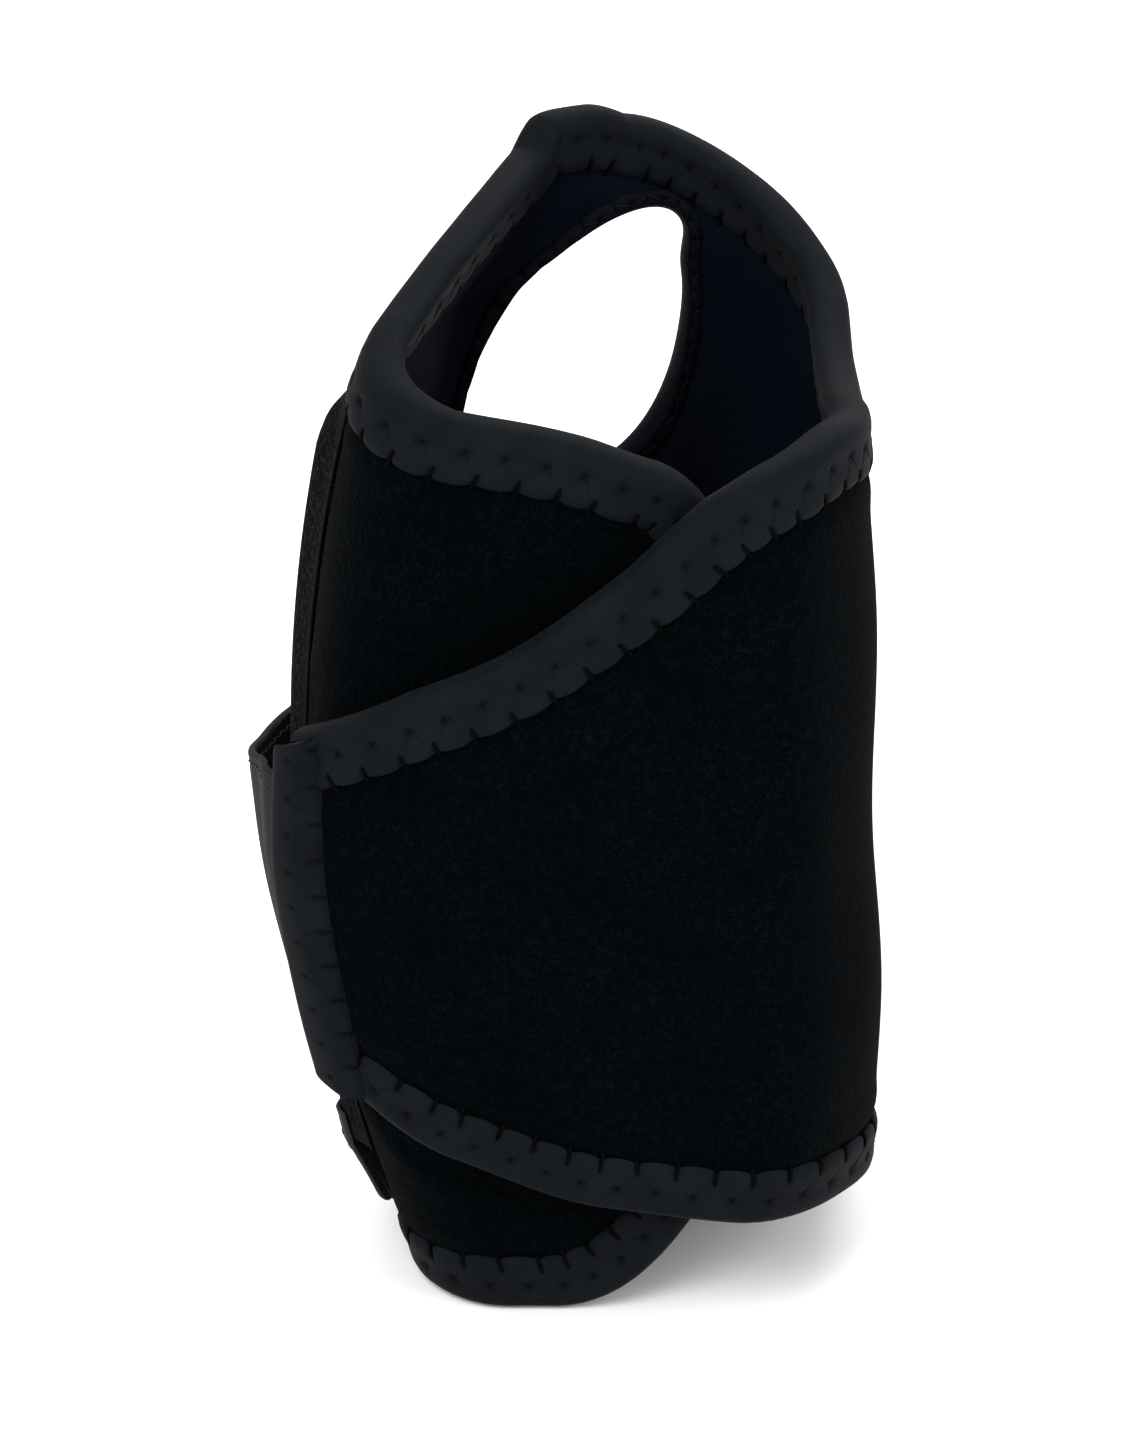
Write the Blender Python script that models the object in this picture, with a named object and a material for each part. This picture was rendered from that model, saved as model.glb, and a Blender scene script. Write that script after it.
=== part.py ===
"""Wrist support brace: a wrap of bound neoprene with a thumb hole, palm stay and strap.

All shapes hang on one guide surface.  Its plan section at a height z is a rounded
quadrilateral with a south, palm, north and east side.  A station q walks round it:
0-1 south side, 1-2 corner, 2-3 palm side, 3-4 corner, 4-5 north side, 5-6 corner,
6-7 east side, 7-8 corner, 8-9 south side again (the outer flap), and so on.
A third value d is the distance outside the guide surface.  Lengths are in mm.
"""

import math

import bpy
from mathutils import Vector

MM = 0.001
SHIFT_X = 6.83
SHIFT_Y = 0.01

# Plan section: distance of each side from the axis, by height.
SOUTH = ((0, 32.0), (60, 33.5), (150, 33.5), (184, 33.0))
NORTH = ((0, 34.0), (60, 35.5), (120, 35.0), (184, 32.9))
EAST = ((0, 41.0), (47, 41.0), (80, 39.8), (110, 38.9), (147, 35.8), (163, 33.9), (184, 32.6))
NORTH_TURN = ((0, 8.0), (60, 10.0), (120, 18.0), (184, 25.4))
PALM_TURN = ((0, 16.0), (150, 16.0), (168, 22.0), (184, 22.0))
PALM_INSET = ((0, 0.0), (148, 0.0), (152, 0.1), (160, -2.0), (168, -2.7), (184, 0.0))
CORNER_SOUTH_PALM = 15.0
CORNER_PALM_NORTH = ((0, 15.0), (135, 14.0), (165, 10.0), (184, 9.0))
CORNER_NORTH_EAST = 23.0
CORNER_EAST_SOUTH = 22.0

# The palm side is bent along its height to a circular arc, so the stay slides in it.
PALM_ARC_RADIUS = 260.0
PALM_ARC_HEIGHT = 88.0
PALM_ARC_REACH = 41.2

# Edges of the wrap: height of the sheet's edge along the stations.
SLEEVE_TOP = ((0.0, 142.0), (0.25, 145.0), (0.5, 148.4), (1.0, 152.3), (1.6, 157.0), (2.0, 161.0),
              (2.5, 169.0), (3.0, 174.8), (3.6, 179.0), (4.4, 179.4), (5.0, 177.2), (5.5, 166.0),
              (6.0, 151.5), (6.5, 146.5), (6.8, 146.0))
SLEEVE_BOTTOM = ((0.0, 1.1), (5.0, 1.1), (5.6, 4.0), (6.0, 8.0), (6.5, 13.0), (6.8, 15.5))
FLAP_TOP = ((6.8, 146.0), (7.1, 146.6), (7.45, 149.0), (7.8, 146.5), (8.0, 142.5), (8.35, 129.0),
            (8.7, 117.0), (9.0, 110.0), (9.3, 104.5), (9.6, 99.5))
FLAP_BOTTOM = ((6.8, 15.5), (7.2, 18.2), (7.6, 20.5), (8.0, 21.6), (8.5, 24.5), (9.0, 31.0),
               (9.3, 36.0), (9.6, 40.0))
FLAP_OFFSET = ((6.8, 0.0), (7.4, 3.0), (8.0, 7.2), (8.7, 7.2), (9.2, 6.0), (9.6, 5.8))
SPLIT = 6.8
SPLIT_GAP = 0.014
FLAP_END = 9.5
TAIL_LENGTH = 52.0
TAIL_STATION = 0.45
TAIL_TOP_CORNER = 12.0
TAIL_BOTTOM_CORNER = 42.0

# Sheet build-up.
GAP = 0.3
FOAM = 3.0
LINING = 0.8
SHEET = FOAM + GAP + LINING
TAPE = 0.8
SLEEVE_ROWS = 10
CLOSE_ROW = 6.0
TAPE_WIDTH = 8.0
TAPE_GAP = 0.6

# Thumb hole.
HOLE_STATION = 4.25
HOLE_SHIFT = 10.1
HOLE_HEIGHT = 140.0
HOLE_HALF_WIDTH = 18.2
HOLE_HALF_HEIGHT = 23.6
HOLE_LEAN = 0.24
HOLE_TAPER = 0.12
HOLE_TAPE_WIDTH = 3.5
HOLE_GAP = 0.85
HOLE_POINTS = 38

# Palm stay and its pocket.
PALM_MIDDLE = -9.5
POCKET_HALF = 21.0
POCKET_CAVITY_HALF = 15.8
POCKET_WALL = 1.0
POCKET_SEAT = 0.5
POCKET_MARGIN = 2.2
POCKET_MOUTH = 22.5
STAY_HALF = 15.0
STAY_INNER = 1.7
STAY_OUTER = 3.0
STAY_BOTTOM = 31.0
STAY_TOP = 140.0
TIP_LENGTH = 5.0
POCKET_LIFT = 3.4

# Tab that closes the pocket mouth.
TAB_HALF = 18.0
TAB_TOP = 27.6
TAB_LEAN = 21.8
TAB_BOTTOM = 9.8
TAB_HEM = 1.6
TAB_THICK = 0.8
TAB_HOOK_HALF = 15.0

# Strap.
STRAP_THICK = 1.4
STRAP_LOW = ((9.2, 42.5), (9.66, 39.0), (10.2, 34.0), (11.0, 32.5), (13.0, 32.0))
STRAP_HIGH = ((9.2, 97.0), (9.66, 94.5), (10.2, 89.5), (11.0, 88.0), (13.0, 87.5))
STRAP_OUTER = ((9.2, 9.3), (9.56, 8.9), (9.8, 6.2), (10.1, 6.4), (11.0, 6.4), (11.5, 5.2),
               (12.1, 3.6), (13.0, 3.4))
STRAP_FLARE = ((9.545, 0.0), (9.7, 1.2), (9.9, 3.6), (10.3, 5.2), (10.8, 3.6), (11.3, 0.0))
STRAP_START = 9.545
STRAP_FOLD = 11.55
STRAP_END = 12.85
STRAP_SPLIT_GAP = 0.02
ROOT_START = 9.28
ROOT_END = 9.525
ANCHOR_START = 9.29
ANCHOR_END = 9.50
HOOK_THICK = 1.2
HOOK_START = 12.12
HOOK_END = 12.80
HOOK_INSET = 4.0

# Joint axes.
WRAP_AXIS = Vector((43.2, -5.5, 0.0))


def profile(table, value):
    """Monotone cubic through the table's points, held level beyond its ends."""
    if value <= table[0][0]:
        return table[0][1]
    if value >= table[-1][0]:
        return table[-1][1]
    i = max(k for k in range(len(table) - 1) if table[k][0] <= value)
    (x0, y0), (x1, y1) = table[i], table[i + 1]
    span = x1 - x0
    t = (value - x0) / span
    m0 = slope_at(table, i) * span
    m1 = slope_at(table, i + 1) * span
    a = (1 + 2 * t) * (1 - t) ** 2 * y0 + t * (1 - t) ** 2 * m0
    return a + t * t * (3 - 2 * t) * y1 + t * t * (t - 1) * m1


def slope_at(table, i):
    if i == 0 or i == len(table) - 1:
        j = min(i, len(table) - 2)
        return (table[j + 1][1] - table[j][1]) / (table[j + 1][0] - table[j][0])
    before = (table[i][1] - table[i - 1][1]) / (table[i][0] - table[i - 1][0])
    after = (table[i + 1][1] - table[i][1]) / (table[i + 1][0] - table[i][0])
    if before * after <= 0:
        return 0.0
    return 2 * before * after / (before + after)


def palm_reach(z, d):
    radius = PALM_ARC_RADIUS + d
    sag = PALM_ARC_RADIUS - math.sqrt(radius ** 2 - (z - PALM_ARC_HEIGHT) ** 2)
    return PALM_ARC_REACH - sag + profile(PALM_INSET, z)


def palm_directions(z):
    turn = math.radians(profile(PALM_TURN, z))
    along = Vector((math.sin(turn), math.cos(turn), 0))
    outward = Vector((-math.cos(turn), math.sin(turn), 0))
    return along, outward


def sides(z, d):
    """Outward direction, distance and following corner radius of the four sides."""
    turn = math.radians(profile(NORTH_TURN, z))
    outward = palm_directions(z)[1]
    return (
        (Vector((0, -1, 0)), profile(SOUTH, z) + d, CORNER_SOUTH_PALM + d),
        (outward, palm_reach(z, d), profile(CORNER_PALM_NORTH, z) + d),
        (Vector((-math.sin(turn), math.cos(turn), 0)), profile(NORTH, z) + d,
         CORNER_NORTH_EAST + d),
        (Vector((1, 0, 0)), profile(EAST, z) + d, CORNER_EAST_SOUTH + d),
    )


def crossing(side_a, side_b, inset):
    """Where the two side lines meet once both are moved inwards."""
    (na, pa), (nb, pb) = side_a[:2], side_b[:2]
    a = pa - inset
    b = pb - inset
    det = na.x * nb.y - na.y * nb.x
    return Vector(((a * nb.y - b * na.y) / det, (na.x * b - nb.x * a) / det, 0))


def corner_centres(lines):
    return [crossing(lines[i], lines[(i + 1) % 4], lines[i][2]) for i in range(4)]


def turn_clockwise(na, nb):
    start = math.atan2(na.y, na.x)
    sweep = (start - math.atan2(nb.y, nb.x)) % (2 * math.pi)
    return start, sweep


def place(q, z, d):
    """Point of the guide surface at station q and height z, moved out by d."""
    lines = sides(z, d)
    centres = corner_centres(lines)
    step = int(q // 1) % 8
    part = q - math.floor(q)
    i = step // 2
    if step % 2 == 0:
        normal, _, _ = lines[i]
        start = centres[i - 1] + normal * lines[i - 1][2]
        end = centres[i] + normal * lines[i][2]
        point = start.lerp(end, part)
    else:
        start, sweep = turn_clockwise(lines[i][0], lines[(i + 1) % 4][0])
        angle = start - sweep * part
        point = centres[i] + lines[i][2] * Vector((math.cos(angle), math.sin(angle), 0))
    return Vector((point.x, point.y, z))


def station_length(step, z):
    """Length round the section of one whole station step."""
    lines = sides(z, 0.0)
    i = (step % 8) // 2
    if step % 2 == 0:
        return (place(step, z, 0) - place(step + 0.99999, z, 0)).length
    return lines[i][2] * turn_clockwise(lines[i][0], lines[(i + 1) % 4][0])[1]


def walk(q, z, distance):
    """Station reached from q by going a distance round the section at height z."""
    while distance > 0:
        step = math.floor(q + 1e-9)
        room = (step + 1 - q) * station_length(step, z)
        if distance <= room:
            return q + distance / station_length(step, z)
        distance -= room
        q = step + 1
    while distance < 0:
        step = math.ceil(q - 1e-9) - 1
        room = (q - step) * station_length(step, z)
        if -distance <= room:
            return q + distance / station_length(step, z)
        distance += room
        q = step
    return q


def palm_station(w, z):
    """Station of the line that stays a distance w along the palm side."""
    along = palm_directions(z)[0]
    first = place(2.0, z, 0.0)
    return walk(2.0, z, w - along.dot(Vector((first.x, first.y, 0))))


def place_palm(w, z, d):
    return place(palm_station(w, z), z, d)


def corner_rise(distance, radius):
    """How far a rounded corner has cut in at a distance from the sheet's end."""
    if distance >= radius:
        return 0.0
    return radius - math.sqrt(radius ** 2 - (radius - distance) ** 2)


def sleeve_top(q):
    return profile(SLEEVE_TOP, q) - corner_rise(q * TAIL_LENGTH, TAIL_TOP_CORNER)


def sleeve_bottom(q):
    return profile(SLEEVE_BOTTOM, q) + corner_rise(q * TAIL_LENGTH, TAIL_BOTTOM_CORNER)


def flap_top(q):
    return profile(FLAP_TOP, q)


def flap_bottom(q):
    return profile(FLAP_BOTTOM, q)


def flap_offset(q):
    return profile(FLAP_OFFSET, q)


def no_offset(q):
    """The sleeve lies on the guide surface all the way round."""
    return 0.0


def even(start, end, count):
    return [start + (end - start) * k / count for k in range(count + 1)]


def sleeve_stations():
    """Columns of the sleeve, closer together at its rounded tail and its corners."""
    tail = [0.0, 0.012, 0.045, 0.1, 0.18, 0.29, 0.42, 0.6, 0.8]
    rest = even(1, 2, 5)[:-1] + even(2, 3, 3)[:-1] + even(3, 4, 5)[:-1]
    rest += even(4, 5, 4)[:-1] + even(5, 6, 8)[:-1] + [6.0, 6.4, SPLIT]
    return tail + rest


def flap_stations():
    start = SPLIT + SPLIT_GAP
    return [start] + even(7, 8, 8) + even(8, 9, 5)[1:] + [9.15, 9.3, FLAP_END]


def column_heights(low, high, rows):
    """Heights from edge to edge: a row at the tape's width, closer rows near the top."""
    near = high - TAPE_WIDTH
    inner = even(low + TAPE_WIDTH, near - 2 * CLOSE_ROW, rows - 2)
    return [low] + inner + [near - CLOSE_ROW, near, high]


def sheet_points(stations, low, high, offset, layer, rows):
    """Outer and inner points of one layer of a sheet, column by column."""
    outer_d, inner_d = layer
    grid = []
    for q in stations:
        base = offset(q)
        heights = column_heights(low(q), high(q), rows)
        grid.append([(place(q, z, base + outer_d), place(q, z, base + inner_d)) for z in heights])
    return grid


def grid_solid(grid):
    """Vertices and faces of a closed slab between the outer and inner points."""
    columns = len(grid)
    rows = len(grid[0])
    verts = [pair[0] for column in grid for pair in column]
    verts += [pair[1] for column in grid for pair in column]
    half = columns * rows
    faces = []
    for i in range(columns - 1):
        for j in range(rows - 1):
            a = i * rows + j
            b = a + rows
            faces.append((a, a + 1, b + 1, b))
            faces.append((half + a, half + b, half + b + 1, half + a + 1))
    for i in range(columns - 1):
        a = i * rows
        b = a + rows
        faces.append((a, b, half + b, half + a))
        a += rows - 1
        b += rows - 1
        faces.append((a, half + a, half + b, b))
    for j in range(rows - 1):
        a = j
        faces.append((a, half + a, half + a + 1, a + 1))
        a = (columns - 1) * rows + j
        faces.append((a, a + 1, half + a + 1, half + a))
    return verts, faces


def metric(q, z):
    return (place(q + 0.01, z, 0) - place(q - 0.01, z, 0)).length / 0.02


def inward_directions(path, closed):
    """Directions into the sheet, left of the path, as (round, up) in mm.

    Round the tail and the thumb hole they are square to the path.  Elsewhere they
    are upright, and stretched so the tape keeps its width on a sloping edge.
    """
    result = []
    count = len(path)
    for i, (q, z) in enumerate(path):
        before = path[i - 1] if closed or i > 0 else path[i]
        after = path[(i + 1) % count] if closed or i < count - 1 else path[i]
        scale = metric(q, z)
        along = Vector(((after[0] - before[0]) * scale, after[1] - before[1]))
        along.normalize()
        if closed or q < TAIL_STATION:
            result.append(Vector((-along.y, along.x)))
        else:
            result.append(Vector((0.0, 1.0 / along.x)))
    return result


def tape_profile(width, gap):
    """Closed outline of a folded tape: (distance into the sheet, d)."""
    edge = -GAP
    skin = -GAP - TAPE
    back = -SHEET - gap
    return ((width, gap), (width, gap + TAPE), (skin, gap + TAPE), (skin, back - TAPE),
            (width, back - TAPE), (width, back), (edge, back), (edge, gap))


def tape_solid(path, offset, width, gap=TAPE_GAP, closed=False, flip=False):
    """Folded tape along an edge path; flip it when the sheet is right of the path."""
    directions = inward_directions(path, closed)
    outline = tape_profile(width, gap)
    verts = []
    for (q, z), inward in zip(path, directions):
        if flip:
            inward = -inward
        scale = metric(q, z)
        for b, d in outline:
            station = q + b * inward.x / scale
            verts.append(place(station, z + b * inward.y, offset(station) + d))
    faces = tape_faces(len(path), len(outline), closed)
    if flip:
        faces = [tuple(reversed(face)) for face in faces]
    return verts, faces


def tape_faces(count, size, closed):
    faces = []
    for i in range(count if closed else count - 1):
        a = i * size
        b = ((i + 1) % count) * size
        for k in range(size):
            n = (k + 1) % size
            faces.append((a + k, b + k, b + n, a + n))
    if not closed:
        last = (count - 1) * size
        for quad in ((0, 1, 2, 7), (7, 2, 3, 6), (3, 4, 5, 6)):
            faces.append(quad)
            faces.append(tuple(last + k for k in reversed(quad)))
    return faces


def sleeve_edge():
    """Edge path of the sleeve: along the top, down the tail and back along the bottom."""
    stations = sleeve_stations()
    top = [(q, sleeve_top(q)) for q in reversed(stations)]
    bottom = [(q, sleeve_bottom(q)) for q in stations]
    heights = column_heights(bottom[0][1], top[-1][1], SLEEVE_ROWS)
    side = [(0.0, z) for z in reversed(heights[1:-1])]
    return top + side + bottom


def flap_edge(height):
    return [(q, height(q)) for q in flap_stations()]


def hole_edge():
    """Edge path of the thumb hole, with the sheet on its left."""
    path = []
    for k in range(HOLE_POINTS):
        angle = -2 * math.pi * k / HOLE_POINTS
        z = HOLE_HEIGHT + HOLE_HALF_HEIGHT * math.sin(angle)
        lean = (HOLE_LEAN - HOLE_TAPER * math.cos(angle)) * (z - HOLE_HEIGHT)
        aside = HOLE_SHIFT + HOLE_HALF_WIDTH * math.cos(angle) + lean
        path.append((walk(HOLE_STATION, z, aside), z))
    return path


def hole_cutter():
    """Closed plug through the wall, its sides square to the guide surface."""
    path = hole_edge()
    count = len(path)
    verts = [place(q, z, 14.0) for q, z in path] + [place(q, z, -6.5) for q, z in path]
    middle = walk(HOLE_STATION, HOLE_HEIGHT, HOLE_SHIFT)
    verts += [place(middle, HOLE_HEIGHT, 18.0), place(middle, HOLE_HEIGHT, -14.0)]
    faces = []
    for k in range(count):
        n = (k + 1) % count
        faces.append((k, count + k, count + n, n))
        faces.append((k, n, 2 * count))
        faces.append((count + n, count + k, 2 * count + 1))
    return verts, faces


def box_grid(stations, heights, outer_d, inner_d, where=place):
    """Slab over a rectangle of stations and heights; d may change with the station."""
    grid = []
    for s in stations:
        grid.append([(where(s, z, outer_d(s)), where(s, z, inner_d(s))) for z in heights])
    return grid


def pocket_rise(w):
    """Hat section of the pocket panel: sewn down at both sides, raised over the stay."""
    flange = POCKET_CAVITY_HALF + 1.2
    edge = abs(w - PALM_MIDDLE)
    if edge >= flange:
        return POCKET_SEAT
    if edge <= POCKET_CAVITY_HALF:
        return POCKET_LIFT
    return POCKET_SEAT + (POCKET_LIFT - POCKET_SEAT) * (flange - edge) / (flange - POCKET_CAVITY_HALF)


def pocket_grid():
    flange = POCKET_CAVITY_HALF + 1.2
    half = [POCKET_HALF, 0.5 * (POCKET_HALF + flange), flange, POCKET_CAVITY_HALF, 5.0]
    offsets = [-v for v in half] + list(reversed(half))
    grid = []
    for offset in offsets:
        w = PALM_MIDDLE + offset
        high = sleeve_top(palm_station(w, 160.0)) - TAPE_WIDTH - POCKET_MARGIN
        heights = even(POCKET_MOUTH, 145.0, 8) + even(145.0, high, 2)[1:]
        rise = pocket_rise(w)
        grid.append([(place_palm(w, z, rise + POCKET_WALL), place_palm(w, z, rise))
                     for z in heights])
    return grid


def stay_grid(low, high, rows):
    across = [PALM_MIDDLE - STAY_HALF, PALM_MIDDLE, PALM_MIDDLE + STAY_HALF]
    return box_grid(across, even(low, high, rows), lambda w: STAY_OUTER, lambda w: STAY_INNER,
                    place_palm)


def tip_grid(low, high, upwards):
    """End cap of the stay, its outer corners rounded off."""
    grid = []
    for t in (-1.0, -0.9, -0.7, -0.35, 0.0, 0.35, 0.7, 0.9, 1.0):
        cut = 3.6 * (1 - math.sqrt(max(0.0, 1 - max(0.0, abs(t) - 0.55) ** 2 / 0.2025)))
        w = PALM_MIDDLE + STAY_HALF * t
        ends = (low, high - cut) if upwards else (low + cut, high)
        grid.append([(place_palm(w, z, STAY_OUTER), place_palm(w, z, STAY_INNER)) for z in ends])
    return grid


def tab_depth(z):
    """The tab leaves the pocket panel at its top and leans in to the sleeve below."""
    top = POCKET_LIFT + POCKET_WALL + GAP
    part = max(0.0, TAB_LEAN - z) / (TAB_LEAN - TAB_BOTTOM)
    return top + (TAB_HEM - top) * part


def tab_grid():
    across = [PALM_MIDDLE + TAB_HALF * t for t in (-1, -0.94, -0.8, 0, 0.8, 0.94, 1)]
    grid = []
    for w in across:
        edge = abs(w - PALM_MIDDLE) / TAB_HALF
        cut = 0.0 if edge < 0.85 else 1.6 * (edge - 0.8) / 0.2
        heights = even(TAB_BOTTOM + cut, TAB_LEAN, 2) + [TAB_TOP]
        grid.append([(place_palm(w, z, tab_depth(z) + TAB_THICK), place_palm(w, z, tab_depth(z)))
                     for z in heights])
    return grid


def tab_hook_grid():
    low = TAB_BOTTOM + 0.6
    high = low + 4.5
    across = [PALM_MIDDLE - TAB_HOOK_HALF, PALM_MIDDLE, PALM_MIDDLE + TAB_HOOK_HALF]
    grid = []
    for w in across:
        grid.append([(place_palm(w, z, tab_depth(z) - GAP), place_palm(w, z, 0.5))
                     for z in (low, high)])
    return grid


def strap_grid(start, end, count):
    """Band of strap between two stations; its upper edge stands off the palm side."""
    grid = []
    for q in even(start, end, count):
        heights = even(profile(STRAP_LOW, q), profile(STRAP_HIGH, q), 4)
        column = []
        for k, z in enumerate(heights):
            outer = profile(STRAP_OUTER, q) + profile(STRAP_FLARE, q) * k / 4
            column.append((place(q, z, outer), place(q, z, outer - STRAP_THICK)))
        grid.append(column)
    return grid


def anchor_grid():
    """Tape sewn over the flap's end and the root of the strap."""
    grid = []
    for q in even(ANCHOR_START, ANCHOR_END, 3):
        inner = profile(STRAP_OUTER, q) + GAP
        low = flap_bottom(q) + 0.5
        high = flap_top(q) - 0.5
        grid.append([(place(q, z, inner + TAPE), place(q, z, inner))
                     for z in even(low, high, 4)])
    return grid


def hook_grid():
    grid = []
    for q in even(HOOK_START, HOOK_END, 3):
        outer = profile(STRAP_OUTER, q) - STRAP_THICK - GAP
        low = profile(STRAP_LOW, q) + HOOK_INSET
        high = profile(STRAP_HIGH, q) - HOOK_INSET
        grid.append([(place(q, z, outer), place(q, z, 0.45)) for z in even(low, high, 3)])
    return grid


def to_metres(point):
    return Vector((point.x + SHIFT_X, point.y + SHIFT_Y, point.z)) * MM


def clear_scene():
    for obj in list(bpy.data.objects):
        bpy.data.objects.remove(obj, do_unlink=True)
    for mesh in list(bpy.data.meshes):
        bpy.data.meshes.remove(mesh)
    for material in list(bpy.data.materials):
        bpy.data.materials.remove(material)


def make_material(name, colour, roughness, metallic=0.0):
    material = bpy.data.materials.new(name)
    material.use_nodes = True
    shader = material.node_tree.nodes["Principled BSDF"]
    shader.inputs["Base Color"].default_value = (*colour, 1.0)
    shader.inputs["Roughness"].default_value = roughness
    shader.inputs["Metallic"].default_value = metallic
    return material


def make_object(name, solid, material, origin):
    """Mesh object with its origin at a point given in the guide's millimetres."""
    verts, faces = solid
    home = to_metres(origin)
    mesh = bpy.data.meshes.new(name)
    mesh.from_pydata([to_metres(v) - home for v in verts], [], faces)
    mesh.validate()
    mesh.update()
    mesh.materials.append(material)
    obj = bpy.data.objects.new(name, mesh)
    obj.location = home
    bpy.context.scene.collection.objects.link(obj)
    return obj


def cut_with(obj, cutter):
    modifier = obj.modifiers.new("thumb_hole", "BOOLEAN")
    modifier.operation = "DIFFERENCE"
    modifier.solver = "EXACT"
    modifier.object = cutter


def build_sleeve(materials):
    origin = Vector((-SHIFT_X, -SHIFT_Y, 0))
    stations = sleeve_stations()
    foam = (0.0, -FOAM)
    lining = (-FOAM - GAP, -SHEET)
    shell = grid_solid(sheet_points(stations, sleeve_bottom, sleeve_top, no_offset, foam,
                                   SLEEVE_ROWS))
    inner = grid_solid(sheet_points(stations, sleeve_bottom, sleeve_top, no_offset, lining,
                                   SLEEVE_ROWS))
    shell = make_object("sleeve_shell", shell, materials["pile"], origin)
    inner = make_object("sleeve_lining", inner, materials["lining"], origin)
    cutter = make_object("thumb_hole_cutter", hole_cutter(), materials["cutter"], origin)
    cutter.hide_render = True
    cutter.display_type = "WIRE"
    cut_with(shell, cutter)
    cut_with(inner, cutter)
    edge = tape_solid(sleeve_edge(), no_offset, TAPE_WIDTH)
    make_object("sleeve_binding", edge, materials["tape"], origin)
    ring = tape_solid(hole_edge(), no_offset, HOLE_TAPE_WIDTH, HOLE_GAP, closed=True)
    make_object("thumb_hole_binding", ring, materials["hole_tape"], origin)
    pocket = grid_solid(pocket_grid())
    make_object("splint_pocket_panel", pocket, materials["pocket"], origin)


def build_flap(materials):
    stations = flap_stations()
    foam = (0.0, -FOAM)
    lining = (-FOAM - GAP, -SHEET)
    shell = grid_solid(sheet_points(stations, flap_bottom, flap_top, flap_offset, foam, 8))
    inner = grid_solid(sheet_points(stations, flap_bottom, flap_top, flap_offset, lining, 8))
    make_object("flap_shell", shell, materials["flap_pile"], WRAP_AXIS)
    make_object("flap_lining", inner, materials["flap_lining"], WRAP_AXIS)
    top = tape_solid(flap_edge(flap_top), flap_offset, TAPE_WIDTH, flip=True)
    bottom = tape_solid(flap_edge(flap_bottom), flap_offset, TAPE_WIDTH)
    make_object("flap_top_binding", top, materials["flap_tape"], WRAP_AXIS)
    make_object("flap_bottom_binding", bottom, materials["flap_low_tape"], WRAP_AXIS)
    root = grid_solid(strap_grid(ROOT_START, ROOT_END, 3))
    make_object("strap_root", root, materials["strap_root"], WRAP_AXIS)
    make_object("strap_anchor_strip", grid_solid(anchor_grid()), materials["anchor"], WRAP_AXIS)


def strap_axis():
    """Peel line of the strap, just outside the tape over its root."""
    point = place(0.5 * (ROOT_END + STRAP_START), 60.0, profile(STRAP_OUTER, ROOT_END) + 1.6)
    return Vector((point.x, point.y, 0))


def tail_axis():
    point = place(STRAP_FOLD, 60.0, profile(STRAP_OUTER, STRAP_FOLD) + 0.4)
    return Vector((point.x, point.y, 0))


def build_strap(materials):
    band = grid_solid(strap_grid(STRAP_START, STRAP_FOLD - STRAP_SPLIT_GAP, 12))
    make_object("strap_band", band, materials["strap"], strap_axis())
    tail = grid_solid(strap_grid(STRAP_FOLD + STRAP_SPLIT_GAP, STRAP_END, 7))
    make_object("strap_tail", tail, materials["strap_tail"], tail_axis())
    make_object("hook_patch", grid_solid(hook_grid()), materials["hook"], tail_axis())


def stay_axis():
    """Centre of the palm side's arc, on which the stay slides."""
    outward = palm_directions(0.0)[1]
    centre = outward * (PALM_ARC_REACH - PALM_ARC_RADIUS)
    along = palm_directions(0.0)[0] * PALM_MIDDLE
    return Vector((centre.x + along.x, centre.y + along.y, PALM_ARC_HEIGHT))


def build_splint(materials):
    origin = stay_axis()
    plate = grid_solid(stay_grid(STAY_BOTTOM, STAY_TOP, 9))
    make_object("splint_stay", plate, materials["stay"], origin)
    high = tip_grid(STAY_TOP + GAP, STAY_TOP + GAP + TIP_LENGTH, True)
    low = tip_grid(STAY_BOTTOM - GAP - TIP_LENGTH, STAY_BOTTOM - GAP, False)
    make_object("splint_tip_top", grid_solid(high), materials["tip"], origin)
    make_object("splint_tip_bottom", grid_solid(low), materials["tip_low"], origin)


def tab_axis():
    return place_palm(PALM_MIDDLE, TAB_TOP + 0.2, tab_depth(TAB_TOP) + 0.2)


def build_tab(materials):
    origin = tab_axis()
    make_object("pocket_tab", grid_solid(tab_grid()), materials["tab"], origin)
    make_object("pocket_tab_hook", grid_solid(tab_hook_grid()), materials["tab_hook"], origin)


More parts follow.
